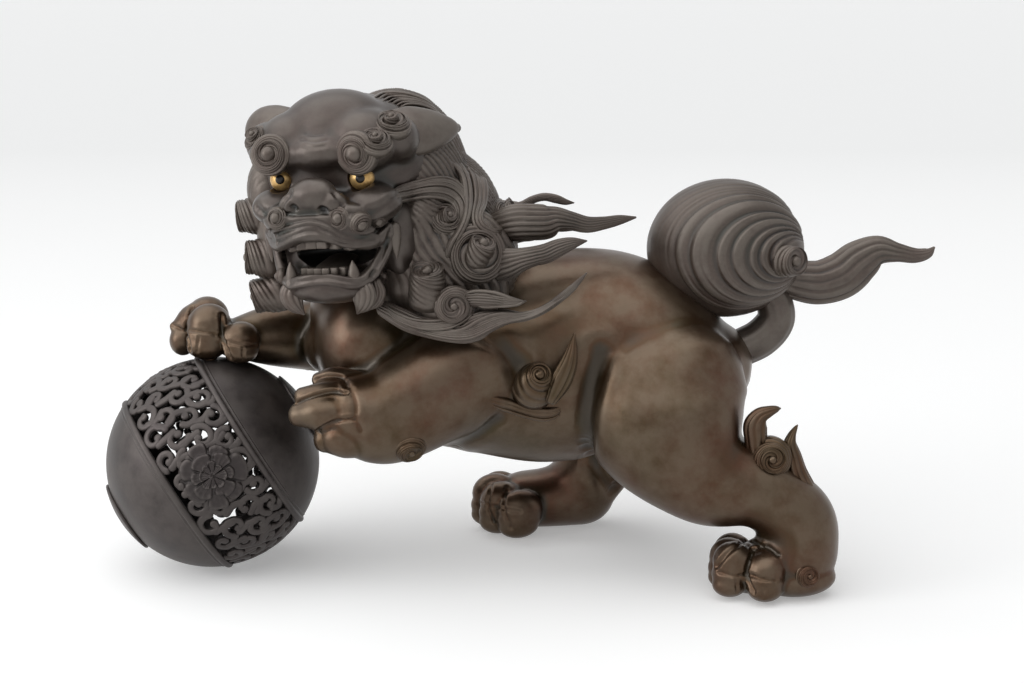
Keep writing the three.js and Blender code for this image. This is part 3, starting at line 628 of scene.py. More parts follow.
# A darker copy of the head's bronze for the face: painted shade over the whole face
SHADED_FACE_BRONZE = patina(
    "shaded_face_bronze",
    tones=[(0.041, 0.033, 0.026), (0.05, 0.04, 0.033), (0.058, 0.039, 0.032), (0.041, 0.038, 0.028)],
    pits_and_shade=(0.0059, 0.0046, 0.0037),
    green=(0.022, 0.03, 0.018),
    wear_and_highlight=(0.111, 0.092, 0.078),
    green_share=0.6,
    metallic=0.6,
    rough=(0.34, 0.46),
    coat=0.25,
)
BALL_BRONZE = patina(
    "ball_bronze",
    tones=[(0.041, 0.035, 0.033), (0.052, 0.044, 0.041), (0.049, 0.038, 0.037), (0.044, 0.041, 0.038)],
    pits_and_shade=(0.0074, 0.0059, 0.0055),
    green=(0.019, 0.022, 0.016),
    wear_and_highlight=(0.104, 0.09, 0.083),
    green_share=0.2,
    metallic=0.6,
    rough=(0.4, 0.56),
)
GILT = patina(
    "gilt",
    tones=[(0.555, 0.311, 0.089), (0.629, 0.385, 0.126), (0.592, 0.333, 0.096), (0.651, 0.414, 0.148)],
    pits_and_shade=(0.185, 0.089, 0.03),
    green=(0.296, 0.185, 0.059),
    wear_and_highlight=(0.703, 0.488, 0.222),
    green_share=0.1,
    metallic=0.6,
    rough=(0.3, 0.42),
)
BLACK_ALLOY = patina(
    "black_alloy",
    tones=[(0.0089, 0.0067, 0.0059), (0.013, 0.01, 0.0089), (0.015, 0.011, 0.0089), (0.012, 0.0096, 0.0089)],
    pits_and_shade=(0.0037, 0.003, 0.003),
    green=(0.0074, 0.0074, 0.0074),
    wear_and_highlight=(0.037, 0.033, 0.03),
    green_share=0.0,
    metallic=0.4,
    rough=(0.25, 0.35),
)

# The body that a piece rides on, its slot in the record and its finish
ON_LION = ("lion", "body_bronze", BODY_BRONZE)
ON_HEAD = ("head", "head_bronze", HEAD_BRONZE)
ON_TAIL = ("tail", "head_bronze", HEAD_BRONZE)
ON_BALL = ("ball", "ball_bronze", BALL_BRONZE)


# Lion's body


def toe(centre, half, drop, turn=0):
    """A knuckle with the blunt claw block below it."""
    x, y, z = centre
    a, b, c = half
    dx, dy, dz = drop
    return [
        lump(centre, half, (0, 0, turn)),
        lump((x + dx * 0.55, y + dy * 0.55, z + dz * 0.55), (a * 0.98, b * 0.94, c * 0.8), (0, 0, turn)),
        lump((x + dx, y + dy, z + dz), (a * 0.9, b * 0.84, c * 0.66), (0, 0, turn)),
    ]


def body_masses():
    torso = [
        (-100, 0, 124, 20, 17),
        (-84, 0, 121, 36, 32),
        (-52, 0, 119, 48, 46),
        (-15, 0, 117, 53, 54),
        (20, 0, 118, 52, 60),
        (54, 0, 124, 50, 54),
        (82, 0, 121, 49, 43),
        (108, 0, 112, 36, 27),
    ]
    near_hind = [
        (80, -34, 114, 44, 30),
        (86, -42, 88, 44, 33),
        (105.5, -50, 64.5, 29.5, 25),
        (132, -53, 56, 20.5, 21),
        (152, -54, 41, 20.5, 21),
        (154, -54, 22, 21, 21),
    ]
    far_hind = [(78, 34, 112, 40, 28), (72, 44, 82, 34, 30), (58, 54, 52, 24, 22), (40, 57, 24, 21, 21)]
    near_fore = [
        (-22, -34, 119, 30, 33),
        (-46, -50, 107, 24, 29),
        (-66, -58, 98, 20, 26),
        (-82, -60, 99, 18, 22),
    ]
    far_fore = [
        (-40, 34, 118, 26, 30),
        (-78, 36, 124, 23, 27),
        (-112, 27, 124, 19, 21),
        (-138, 13, 126.5, 16, 17),
        (-156, 2, 127, 13, 11),
    ]
    return [
        sweep(torso, Z_UP, 40, 40),
        lump((-84, 0, 144), (28, 32, 26)),
        lump((-75, -13, 130), (33, 37, 35)),
        sweep([(-36, 0, 136, 35, 35), (-70, 0, 194.5, 34.5, 34.5)], Y_UP, 40, 10),
        sweep(near_hind, Y_UP, 32, 36),
        sweep([(154, -54, 24, 20, 21), (138, -56, 16, 16, 18), (126, -57, 13.5, 13.5, 16)], Y_UP, 32, 20),
        sweep(far_hind, Y_UP, 32, 30),
        sweep([(42, 57, 22, 21, 21), (22, 57, 18, 18, 20), (6, 56, 17, 17, 19)], Y_UP, 32, 20),
        sweep(near_fore, Z_UP, 32, 30),
        sweep(far_fore, Z_UP, 32, 34),
    ]


def finger(tip, knuckle, root, size):
    """A plump toe of the raised paw, narrower at the tip."""
    stations = [(*root, size, size), (*knuckle, size * 1.02, size), (*tip, size * 0.66, size * 0.66)]
    return sweep(stations, Y_UP, 24, 24)


def paw_masses():
    paws = []
    # left hind foot
    paws += toe((117, -63, 20), (10.5, 10, 10.5), (-1.5, -3, -11.5), 8)
    paws += toe((134.5, -69, 17.5), (11, 10, 10), (-1, -3.5, -9.5), 24)
    paws += toe((116.5, -53, 19), (10.5, 9, 10.5), (-1.5, 0, -11), 0)
    paws += toe((120, -42, 18), (10.5, 9, 10.5), (-1.5, 1, -10.5), -12)
    paws.append(lump((150, -60, 11), (23, 15, 11)))
    # right hind foot
    paws += toe((-10, 52, 22), (14, 9.5, 12), (-2, 0, -13), 0)
    paws += toe((-6, 42, 20), (13, 9.5, 12), (-2, -1, -11.5), 10)
    paws += toe((5, 35, 17), (14, 9, 12), (-1, -1, -9), 22)
    paws += toe((-7, 64, 20), (13, 9, 12), (-2, 1, -11.5), -10)
    # right forepaw, on the ball
    paws += toe((-170, 8, 138.5), (12, 10, 11.5), (-5, -2, -9), -8)
    front_toe = [(-170, 6.5, 139, 11, 10), (-181, 5, 135.5, 8.5, 8.5), (-188, 4, 133.5, 3, 4)]
    paws.append(sweep(front_toe, Y_UP, 24, 20))
    paws.append(lump((-183.5, 3, 126), (7.5, 8, 8.5)))
    paws += toe((-166.5, -6, 136.5), (12, 11, 12), (-1, -4.5, -10.5), 14)
    paws += toe((-148.5, -11.5, 130), (10.5, 9, 9.5), (0.5, -3.5, -6.5), 30)
    # left forepaw, raised
    paws.append(finger((-109, -60, 109.5), (-98, -62, 110), (-84, -60, 111), 7.6))
    paws.append(finger((-110.5, -64.5, 100.5), (-98, -67, 102.5), (-82, -63, 102), 9.5))
    paws.append(finger((-97, -65.5, 87.5), (-88, -67, 89), (-76, -62, 88), 10.5))
    paws.append(finger((-101, -52, 116.5), (-93, -53, 117), (-80, -54, 115), 6.6))
    paws.append(lump((-75, -61, 98), (15, 17, 21)))
    return paws


CREASES = {
    "toes of the left hind foot": [
        ([(754, 549), (750, 560), (747, 571), (749, 582), (754, 592)], 1.1, 1.5),
        ([(719, 572), (735, 576), (747, 574)], 0.9, 1.0),
        ([(748, 574), (762, 579), (776, 581)], 0.9, 1.0),
        ([(717, 566), (731, 550), (748, 541), (761, 546)], 1.2, 1.3),
        ([(754, 550), (766, 547), (778, 555)], 1.2, 1.1),
        ([(736, 580), (737, 592)], 0.7, 0.7),
        ([(763, 586), (764, 598)], 0.7, 0.7),
    ],
    "toes of the right forepaw": [
        ([(192, 308), (187, 328), (190, 350)], 1.2, 1.6),
        ([(222, 316), (223, 338), (230, 358)], 1.2, 1.6),
        ([(186, 330), (205, 332), (223, 336)], 0.8, 0.9),
        ([(224, 341), (240, 345), (257, 345)], 0.8, 0.9),
        ([(172, 325), (186, 331)], 0.8, 0.8),
        ([(199, 337), (197, 352)], 0.7, 0.7),
        ([(243, 349), (243, 360)], 0.7, 0.7),
    ],
    "fingers of the raised paw": [
        ([(296, 404), (311, 397), (330, 392), (346, 393.5)], 1.0, 1.3),
        ([(314, 433), (325, 426), (337, 421), (354, 419.5)], 1.0, 1.3),
        ([(309, 383), (325, 376.5), (342, 378), (346, 387)], 1.0, 1.0),
        ([(346, 381), (353, 395), (356, 406), (356, 419), (361, 431)], 1.6, 0.9),
    ],
    "toes of the right hind foot": [
        ([(492, 484), (488, 505), (494, 522)], 1.0, 1.2),
        ([(507, 487), (504, 508), (511, 528)], 1.0, 1.2),
        ([(481, 502), (500, 508), (520, 512)], 0.9, 0.9),
    ],
    "front of the thigh": [
        ([(600, 352), (591, 385), (588, 425), (597, 468), (622, 500)], 5.0, 2.4),
    ],
    "back of the shoulder": [
        ([(470, 330), (500, 345), (520, 362)], 5.0, 1.6),
        ([(440, 452), (470, 440), (497, 420)], 4.0, 1.4),
    ],
}


def thin_out(obj, most):
    """Takes out points where the skin is flat, down to a number of triangles."""
    count = sum(len(p.vertices) - 2 for p in obj.data.polygons)
    if count > most:
        modify(obj, "DECIMATE", ratio=most / count)


def make_body():
    skin = fuse(body_masses(), 2.2, 16)
    skin = fuse([skin] + paw_masses(), 1.0, 5, 0.4)
    surface = Surface(skin)
    for lines in CREASES.values():
        for places, width, depth in lines:
            crease(skin, surface, places, width, depth)
    thin_out(skin, SKIN_TRIANGLES)
    make_flames(surface)
    nodes = ("torso", "hind_leg_left", "hind_leg_right", "foreleg_left", "foreleg_right")
    settle(skin, "lion_skin", *ON_LION, nodes=nodes, rounds=22)


NEAR_HOCK = (134.5, -62, 83)  # middle of the flame on the left hock
FAR_HOCK = (73, 73, 68)  # and of the smaller one on the right
FAR_HOCK_SIZE = 0.72
FLAMES = {
    "shoulder": [
        (552, 399, -58, 3.5, 3), (561, 381, -60, 5.6, 3.4), (569.5, 360, -59, 4.4, 2.8),
        (574.5, 334, -56.5, 0.6, 0.6),
    ],
    "hock": [
        (762, 466, -58, 5, 5), (757, 451, -58, 5.6, 5), (755.5, 437, -58, 6.2, 5),
        (755.3, 425, -58, 6.3, 4.6), (760.2, 416, -57.5, 4.6, 4), (769, 411.5, -57, 3.1, 3.2),
        (776.5, 409, -56.5, 1.8, 2), (780.2, 408.4, -56, 0.5, 0.5),
    ],
    "hock_point": [
        (804, 486, -56, 5.6, 7), (797, 472, -56, 5.4, 6), (793, 456.5, -56, 4.6, 5),
        (790, 444.5, -56, 3.6, 4), (791.8, 435.5, -55.5, 2.3, 2.8), (795.6, 428, -55, 1.1, 1.4),
        (797.5, 425.2, -55, 0.4, 0.4),
    ],
}


def picture_lock(places, grooves=9, depth=0.2, sides=72, steps=44):
    """A combed lock through stations: place in the photograph, y, half width, half thickness."""
    stations = [(*at_depth(px, py, y), wide, thick) for px, py, y, wide, thick in places]
    return sweep(stations, Y_UP, sides, steps, grooves, depth, 5)


def make_flames(skin):
    shoulder = join(
        [
            curl_at(skin, (535, 383), 12.5, 13, (0.2, 0, 0.75), turns=3.4, hairs=2, crown=0.42, knob=0.4),
            picture_lock(FLAMES["shoulder"]),
            strands_at(
                skin,
                [
                    [(486, 398), (505, 400), (525, 407), (546, 410), (568, 407)],
                    [(489, 405), (508, 410), (527, 416), (546, 419), (566, 413)],
                ],
                6, 1.5, 1.8,
            ),
        ]
    )
    looks = {"turns": 2.2, "hairs": 4, "knob": 0.27, "crown": 0.55}
    hock_whorl = curl(at_depth(770.5, 458, -60), (0.02, -1, 0.12), 11.5, 8, **looks)
    hock = join([hock_whorl, picture_lock(FLAMES["hock"]), picture_lock(FLAMES["hock_point"])])
    far_hock = Matrix.Translation(FAR_HOCK) @ Matrix.Scale(FAR_HOCK_SIZE, 4)
    hock_place = far_hock @ LEFT_TO_RIGHT @ Matrix.Translation(NEAR_HOCK).inverted()
    for piece, name, place in ((shoulder, "shoulder_flame", LEFT_TO_RIGHT), (hock, "hock_flame", hock_place)):
        far = copy_of(piece, place)
        for flame, side in ((piece, "left"), (far, "right")):
            settle(flame, f"{name}_carved_{side}", *ON_LION, nodes=(f"{name}_{side}",), rounds=8)
    looks = {"turns": 2.0, "hairs": 4, "knob": 0.26, "crown": 0.6, "sink": 0.12}
    elbow = curl_at(skin, (411, 451), 9, 2.6, **looks)
    settle(elbow, "elbow_curl_carved", *ON_LION, nodes=("elbow_curl_left",), rounds=8)
    foot = curl_at(skin, (808.5, 576), 7, 2.6, (0.2, 0, 0), **looks)
    settle(foot, "foot_curl_left", *ON_LION, rounds=8)


# Head, drawn in its own frame: X to its left, -Y the way it looks, Z up


def both_sides(make):
    return [piece for side in (1, -1) for piece in make(side)]


def head_masses():
    masses = [
        lump((0, 2, 3), (45, 42, 38)),
        lump((0, -12, 21), (31, 26, 22.5)),
        lump((0, -33, 13), (20, 14, 10)),
        lump((0, -39, -19), (30, 18, 12)),
        lump((0, -4, -38), (34, 30, 22)),
        lump((0, -31, -55), (26, 23, 9.5)),
        lump((0, -45, -56), (14, 8, 6.5)),
    ]
    masses += both_sides(
        lambda s: [
            lump((s * 18, -22, 19), (20, 19, 15)),
            lump((s * 23, -33, 12), (17, 14, 9.5), (0, s * -8, s * -16)),
            lump((s * 35, -20, 17), (12, 15, 12)),
            lump((s * 26, -35.5, -14), (15, 13, 10), (0, 0, s * 25)),
            lump((s * 31, -8, -34), (11, 20, 24)),
        ]
    )
    return masses


def arc(points, size, thick):
    """A rounded ridge across the face, from its left half given outwards from the middle."""
    right = [(-x, y, z, size, thick) for x, y, z in points[:0:-1]]
    left = [(x, y, z, size, thick) for x, y, z in points]
    return sweep(right + left, Z_UP, 20, 60)


def face_features():
    lower_lip = [
        (0, -51.5, -49), (8, -51, -50), (17, -47, -52), (24, -40, -48), (28.5, -34, -40), (31, -30, -32),
    ]
    features = [
        lump((0, -50, -6.5), (12.5, 9, 8), (24, 0, 0)),
        arc([(0, -54, -26), (9, -52.5, -27), (18, -47.5, -31), (25, -41, -32), (31, -33, -28)], 4.6, 4.2),
        arc([(0, -54.5, -21.5), (8, -53.5, -22.5), (17, -49.5, -26), (26, -43, -26.5)], 3.6, 3.4),
        arc(lower_lip, 3.4, 3.4),
    ]
    features += both_sides(
        lambda s: [
            lump((s * 10.5, -49.5, -10.5), (7.5, 7, 5.4), (0, s * 14, s * 16)),
            lump((s * 17, -46.5, -19), (12, 9, 8)),
        ]
    )
    return features


FACE_CREASES = [
    # frown
    ([(306, 133.5), (314, 135), (323, 134)], 0.9, 0.3),
    ([(301, 139), (313, 142), (326, 140)], 0.9, 0.4),
    ([(304, 145), (314, 147.5), (325, 146)], 0.9, 0.4),
    # nose
    ([(292, 207), (295, 207.5)], 1.4, 1.7),
    ([(322.5, 209), (326, 209.3)], 1.4, 1.7),
    ([(334, 193), (342, 205), (339, 213)], 1.2, 0.9),
    ([(291, 193), (283, 205), (285, 213)], 1.2, 0.9),
    ([(285, 213.5), (299, 214.5), (313, 214), (339, 213.5)], 1.2, 1.1),
    # cheeks
    ([(351, 213), (368, 214), (384, 207), (399, 196)], 2.0, 1.2),
    ([(277, 213), (265, 214), (257, 208)], 2.0, 1.2),
    # upper lip
    ([(268, 231), (284, 226), (300, 221.5), (314, 220), (328, 225), (345, 234), (364, 236)], 0.8, 0.7),
    ([(277, 235), (297, 228), (313, 226), (330, 233), (347, 240), (371, 235), (385, 225)], 1.0, 1.0),
    ([(278, 242), (297, 234), (313, 231), (330, 239), (347, 245), (375, 239)], 1.0, 0.9),
    # lower lip
    ([(289, 283), (306, 281), (325, 278), (344, 281), (363, 283), (375, 273)], 1.2, 1.0),
    ([(392, 230), (386, 244), (381, 258), (373, 275)], 1.6, 1.4),
]


def make_face():
    """The carved face, with its eye sockets and open mouth. Gives back a copy of it without its finish."""
    face = fuse(head_masses(), 1.6, 12)
    face = fuse([face] + face_features(), 0.9, 4, 0.45)
    face = cut_away(face, lump((0, -42, -39.5), (26.5, 30, 8.0)))
    face = cut_away(face, join([lump((x, y - 6, z), (6.6, 8.5, 6.4)) for x, y, z in EYES.values()]))
    surface = Surface(in_figure(face))
    for places, width, depth in FACE_CREASES:
        crease(face, surface, places, width, depth)
    thin_out(face, SKIN_TRIANGLES)
    make_hair_on_face(surface)
    plain = copy_of(face)
    # the face takes the darker copy of the head's bronze, which paints shade onto it
    settle(face, "head_carved", "head", "head_bronze", SHADED_FACE_BRONZE, nodes=("head", "lower_jaw"))
    return plain


def cut_away(obj, tool):
    """Cuts a tool's space out of a piece and removes the tool."""
    modify(obj, "BOOLEAN", operation="DIFFERENCE", object=tool, solver="EXACT")
    bpy.data.objects.remove(tool)
    return obj


def make_eyes():
    gaze = unit((0.22, -0.96, 0.08))
    for side, place in EYES.items():
        centre = np.array(place)
        eye = lump(centre, (6.3, 6.3, 6.1), segments=48, rings=32)
        settle(eye, f"eye_gilt_{side}", "head", "gilt", GILT, HEAD, (f"eye_{side}",))
        pupil = lump(centre + gaze * 5.7, (2.4, 1.3, 2.4), (0, 0, 17))
        settle(pupil, f"pupil_black_{side}", "head", "black_alloy", BLACK_ALLOY, HEAD, (f"pupil_{side}",))


def tooth(centre, half, turn):
    deselect()
    bpy.ops.mesh.primitive_cube_add(size=2, location=centre, rotation=(0, 0, math.radians(turn)), scale=half)
    bpy.ops.object.transform_apply(location=True, rotation=True, scale=True)
    return modify(bpy.context.object, "BEVEL", width=0.8, segments=3)


def fang(foot, tip, radius):
    foot, tip = np.array(foot, float), np.array(tip, float)
    profile = ((0, 1), (0.35, 0.95), (0.75, 0.55), (1, 0.12))
    return sweep([(*(foot + (tip - foot) * t), radius * r, radius * r) for t, r in profile], Y_UP, 16, 16)


def make_mouth():
    upper = []
    lower = []
    for i in range(-3, 3):
        across = i + 0.5
        bend = across * across
        place = (across * 6, -49.6 + bend * 0.85, -31.4 - bend * 0.3)
        upper.append(tooth(place, (3.0, 2.2, 2.6), across * -14))
        lower.append(tooth((across * 4.2, -46 + bend * 0.4, -46.4), (2.2, 1.8, 2.2), across * -6))
    for name, teeth in (("upper_teeth", upper), ("lower_teeth", lower)):
        settle(join(teeth), f"{name}_carved", *ON_HEAD, HEAD, (name,), 40)
    tongue = sweep([(0, -18, -44, 9, 3.4), (0, -30, -46, 10, 3), (0, -40, -47, 8, 2.2)], Z_UP, 24, 20)
    settle(tongue, "tongue_carved", *ON_HEAD, HEAD, ("tongue",))
    for side, s in SIDES:
        top = fang((s * 34, -30, -27), (s * 34.5, -31, -42.5), 3.4)
        settle(top, f"upper_fang_carved_{side}", *ON_HEAD, HEAD, (f"upper_fang_{side}",))
        low = fang((s * 17, -46, -51), (s * 17, -47, -41), 3.2)
        settle(low, f"lower_fang_carved_{side}", *ON_HEAD, HEAD, (f"lower_fang_{side}",))


BROWS = {
    "left": [((353.5, 154), 11.2, 0.8), ((375.5, 139), 9, 3.6), ((392, 121), 10, 4.2)],
    "right": [((268, 154), 10.5, 0.8), ((254, 137), 7.5, 3.4), ((263.5, 119), 8, 4.2)],
}
WHISKERS = {
    "left": [((337.5, 218.5), 6, 0.7), ((362, 225), 6, 0.8), ((378.5, 221.5), 5.2, 0.9)],
    "right": [((275.5, 218), 5.8, 0.8), ((260, 224.5), 5.6, 1.2)],
}
BEARD_CURLS = {
    "left": [((383, 276), 4.4, 1.0)],
    "right": [((285, 293), 4.4, 1.2), ((279, 276), 4.2, 1.2)],
}


def make_hair_on_face(face):
    for side, s in SIDES:
        spot, radius, height = BROWS[side][0]
        brow = [curl_at(face, spot, radius, height, turns=2.2, hand=s, hairs=4, crown=0.56, knob=0.5)]
        for spot, radius, height in BROWS[side][1:]:
            brow.append(snail(face, spot, radius, 3.9, height, (-0.2 * s, -0.2, 0.3), s))
        settle(join(brow), f"brow_curls_carved_{side}", *ON_HEAD, nodes=(f"brow_curls_{side}",), rounds=8)
        looks = {"turns": 1.5, "hand": -s, "hairs": 3, "crown": 0.62, "knob": 0.56, "groove": 0.16}
        hairs = [curl_at(face, spot, radius, height, **looks) for spot, radius, height in WHISKERS[side]]
        settle(join(hairs), f"whisker_curls_{side}", *ON_HEAD, rounds=8)
        tuft = [curl_at(face, spot, radius, height, **looks) for spot, radius, height in BEARD_CURLS[side]]
        tuft += beard_tuft(s)
        if side == "left":
            tuft.append(lump(at_depth(371.5, 293, -58), (7.5, 8, 7.5)))
            tuft.append(curl(at_depth(373.5, 297, -65), (0.3, -0.95, -0.1), 6.4, 2.6, **looks))
        settle(join(tuft), f"beard_carved_{side}", *ON_HEAD, nodes=(f"beard_{side}",), rounds=6)
    make_ears()


# Tufts at the left of the jaw, the front one first, and the two ears with the way that they lie open
BEARD_TUFTS = [
    [(18, -42, -53, 4.5, 3), (20, -43, -58, 6.4, 3.6), (18.5, -42.5, -63.5, 5.2, 3.2),
     (15, -41, -68.5, 0.8, 0.8)],
    [(24, -36, -54, 3, 2.6), (24.5, -36, -59, 4.4, 3), (22, -36, -64, 3.4, 2.6), (18, -36, -68, 0.8, 0.8)],
]
EARS = {
    "left": (
        [(28, -14, 20, 11, 8), (38, -6, 19.5, 14, 7), (46, 4, 19.5, 11.5, 6),
         (52, 13, 19, 6.5, 4.5), (54.5, 17.5, 18.5, 2.5, 2.5)],
        (0.75, -0.45, 0.5),
    ),
    "right": (
        [(-28, -4, 23, 11, 7), (-42, 0, 26, 11, 8), (-52, 4, 25, 10, 7),
         (-58, 12, 23, 5.5, 4), (-60, 17, 22, 2, 2)],
        (-0.5, -0.7, 0.5),
    ),
}


def beard_tuft(s):
    """A combed tuft that hangs from one side of the jaw, and a smaller one behind it."""
    tufts = []
    for seed, stations in enumerate(BEARD_TUFTS, 2):
        tuft = sweep([(s * x, *rest) for x, *rest in stations], Y_UP, 72, 24, 11, 0.2, seed)
        tufts.append(in_figure(tuft))
    return tufts


def make_ears():
    for side, (stations, up) in EARS.items():
        settle(sweep(stations, up, 40, 36), f"ear_carved_{side}", *ON_HEAD, HEAD, (f"ear_{side}",))


# Mane


def comb(obj, apex, way, lanes, depth, seed):
    """Combs a surface into locks that fan out from an apex about a line, faint beside the face."""
    axis, first, second = side_axes(way)
    points, normals = points_of(obj), normals_of(obj)
    arm = points - np.asarray(apex, float)
    turn = np.arctan2(arm @ second, arm @ first) / (2 * math.pi)
    fall = arm @ axis
    warp = 0.012 * np.sin(fall * 0.06 + turn * 18) + 0.007 * np.sin(fall * 0.13 + turn * 41)
    place = (turn + warp) * lanes
    rng = np.random.default_rng(seed)
    strength = rng.uniform(0.35, 1.0, lanes)
    lane = np.floor(place).astype(int) % lanes
    groove = np.abs(np.cos(math.pi * place)) ** 4
    spacing = np.linalg.norm(arm - np.outer(fall, axis), axis=1) * 2 * math.pi / lanes
    fine = np.abs(np.cos(math.pi * place * 3)) ** 3 * np.clip(spacing - 2, 0, 1)
    sink = np.minimum(depth, spacing * 0.4) * (strength[lane] * groove + 0.3 * fine)
    behind = np.clip((points[:, 0] + 62) / 24, 0.2, 1)
    above = np.clip((points[:, 2] - 230) / 10, 0, 1)
    set_points(obj, points - normals * (sink * np.maximum(behind, above))[:, None])


def make_mane(face):
    """The hood of hair round the face, with its curls and combed strands."""
    masses = [
        lump((-63, -8, 212), (41, 50, 54)),
        lump((-44, -4, 190), (40, 50, 46)),
        lump((-80, 24, 190), (30, 30, 44)),
    ]
    for s in (-1, 1):
        masses.append(lump((-36, s * 42, 176), (40, 21, 34)))
        masses.append(in_figure(lump((s * 40, 4, -32), (16, 23, 34))))
    temple = in_figure(lump((-44, 2, -9), (15, 20, 22)))
    hood = fuse(masses + [temple], 0.9, 18)
    both = join([face, copy_of(hood)])
    near, far = Surface(both), Surface(both, side=-1)
    bpy.data.objects.remove(both)
    comb(hood, (-104, -40, 258), (0.65, 0.3, -0.7), 78, 1.4, 3)
    thin_out(hood, HOOD_TRIANGLES)
    settle(hood, "mane_combed", *ON_HEAD, nodes=("mane_hood",), rounds=10)
    make_mane_curls(near, far)
    make_mane_hair(near, far)


def rear_curls(hood):
    """The snails behind the cheek, on one side of the hood."""
    return [
        snail(hood, (446, 217), 9.5, 4.4, 4, (0.7, 0, 0.1)),
        snail(hood, (502, 218), 11, 5.8, 9, (0.5, 0.1, 0.9)),
        snail(hood, (478, 254), 16, 7.2, 9, (0.25, 0.3, 1.0)),
        curl_at(hood, (428, 292), 10.5, 15, (0.1, 0.2, 1.8), turns=3, starts=2, crown=0.76, groove=0.14),
    ]


def make_mane_curls(near, far):
    right = []
    for centre, way, radius, height in (
        ((-53, -5, -21), (-1, -0.4, 0), 10.5, 11),
        ((-46, -12, -43), (-1, -0.5, 0.1), 11, 12),
        ((-44, -8, -62), (-1, -0.5, -0.15), 11, 14),
    ):
        right.append(in_figure(curl(centre, way, radius, height, turns=3, hand=-1, starts=2, crown=0.74)))
    settle(join(rear_curls(near)), "mane_curls_left", *ON_HEAD, rounds=9)
    settle(join(right + rear_curls(far)), "mane_curls_right", *ON_HEAD, rounds=9)


MANE_HAIR = [
    # over the top of the hood
    ([
        [(370, 98), (390, 93.5), (415, 97), (441, 111)],
        [(398, 107), (413, 105), (431, 110), (452, 126)],
    ], 7),
    # over the cheek and round its curl
    ([
        [(381, 207), (406, 200), (430, 197), (447, 201), (456, 210), (457, 220)],
        [(384, 197), (412, 191), (437, 188), (455, 194), (463, 208), (461, 226)],
        [(392, 188), (418, 181), (444, 177), (462, 187), (469, 205), (466, 228)],
    ], 15),
    # from behind the ear down to the big whorl
    ([
        [(449, 155), (460, 175), (463, 193), (464, 216), (456, 234), (447, 248), (446, 264)],
        [(462, 157), (469, 180), (471, 200), (469, 217), (464, 230), (458, 242), (455, 252)],
    ], 9),
    # from behind the ear round the rear whorl
    ([
        [(466, 158), (473, 180), (475, 200), (472, 218), (478, 231), (495, 238), (513, 231)],
        [(479, 158), (486, 183), (485, 204), (481, 217), (486, 226), (499, 231), (513, 222)],
    ], 10),
]


def make_mane_hair(near, far):
    for hood, side in ((near, "left"), (far, "right")):
        hair = [strands_at(hood, guides, count, 1.0, 1.8) for guides, count in MANE_HAIR]
        settle(join(hair), f"mane_hair_{side}", *ON_HEAD, rounds=6)


# The locks of the mane by their stations: place in the photograph, y, half width, half thickness
LOCKS = {
    "upper": [
        (492, 227, -36, 7, 6), (512.7, 223, -41, 9.7, 7), (529.3, 222.1, -40, 9.7, 7),
        (545.8, 222, -38, 9.2, 6.5), (557, 219.5, -36, 6.8, 6), (570.7, 221, -33, 5.1, 5),
        (587.3, 224.6, -30, 4.4, 4), (603.9, 223, -26, 3.5, 3.2), (620.5, 219.7, -22, 2.6, 2.4),
        (635.4, 217.4, -20, 0.6, 0.6),
    ],
    "middle": [
        (484, 270, -50, 8, 5), (506, 264.4, -53, 8.6, 6), (521, 259.5, -54, 6.2, 6),
        (534.2, 256.1, -52, 5.2, 5.5), (545.8, 253.4, -50, 5.2, 5), (559.1, 247.5, -48, 4.6, 4.4),
        (572.4, 243.2, -46, 3.2, 3.2), (586.5, 240.9, -44, 0.5, 0.5),
    ],
    "lower": [
        (457.9, 300.1, -66, 4.6, 4), (472.9, 298.4, -68, 4.4, 4.5), (486.1, 298.9, -69.5, 4.6, 4.5),
        (499.4, 300.1, -70, 3.8, 4), (512.7, 302.2, -70, 2.4, 3), (521, 302.1, -69.5, 1.3, 1.6),
        (525.9, 301.1, -69, 0.4, 0.5),
    ],
    "long": [
        (385, 309.2, -57, 4.4, 5), (404.9, 320, -62, 5.4, 5), (421.5, 326.1, -65, 5.3, 5),
        (443, 330.3, -67, 5.7, 5), (462.9, 332, -68, 6.1, 5), (474.5, 327.4, -68.5, 7.2, 5),
        (486.1, 322, -68.5, 6.2, 5), (506, 317, -68, 4, 4.5), (525.9, 316.6, -66.5, 2.3, 4),
        (545.8, 308.4, -65, 2.1, 3.4), (567.4, 292.3, -63, 2, 2.6), (579, 281.3, -61, 1.3, 1.6),
        (586.5, 273.2, -60, 0.4, 0.4),
    ],
    "crest": [
        (508, 212, 0, 4, 4), (522.6, 205.6, 0, 2.6, 3.5), (532.6, 199.8, 0, 2.2, 3.5),
        (544.2, 196.9, 0, 2.2, 3.5), (555.8, 198.9, 0, 2.4, 3), (565.7, 202, 0, 1.7, 2),
        (573.7, 202.8, 0, 0.4, 0.4),
    ],
}
SKIRT_HAIR = [
    # from the chin round the lowest curl
    ([
        [(384, 303), (398, 314), (421, 321), (446, 320), (462, 314), (472, 304)],
        [(384, 309), (399, 321), (424, 329), (450, 328), (469, 318), (478, 306)],
    ], 7),
    # along the lower edge to the tip of the long lock
    ([
        [(392, 322), (421.5, 333), (462.9, 340.5), (486, 331),
         (506, 321.5), (526, 319), (546, 309.6), (567, 293.3)],
        [(430, 330), (459.6, 331), (474.5, 323), (487, 316.5),
         (503, 313.5), (523, 314.6), (540, 309), (560, 296)],
    ], 8),
    # out to the tip of the lower lock
    ([
        [(461, 295), (473, 291.7), (486, 291.5), (499, 294.3), (512.5, 299), (524, 300.6)],
        [(474.5, 306.5), (486, 307), (499.4, 306.3), (512.7, 305.4), (521, 303.4), (525, 301.4)],
    ], 7),
]
FAR_LOCK_SHIFT = {"upper": (-14, 0, -8), "middle": (-6, 0, -3)}  # the far side's locks hang shorter and lower


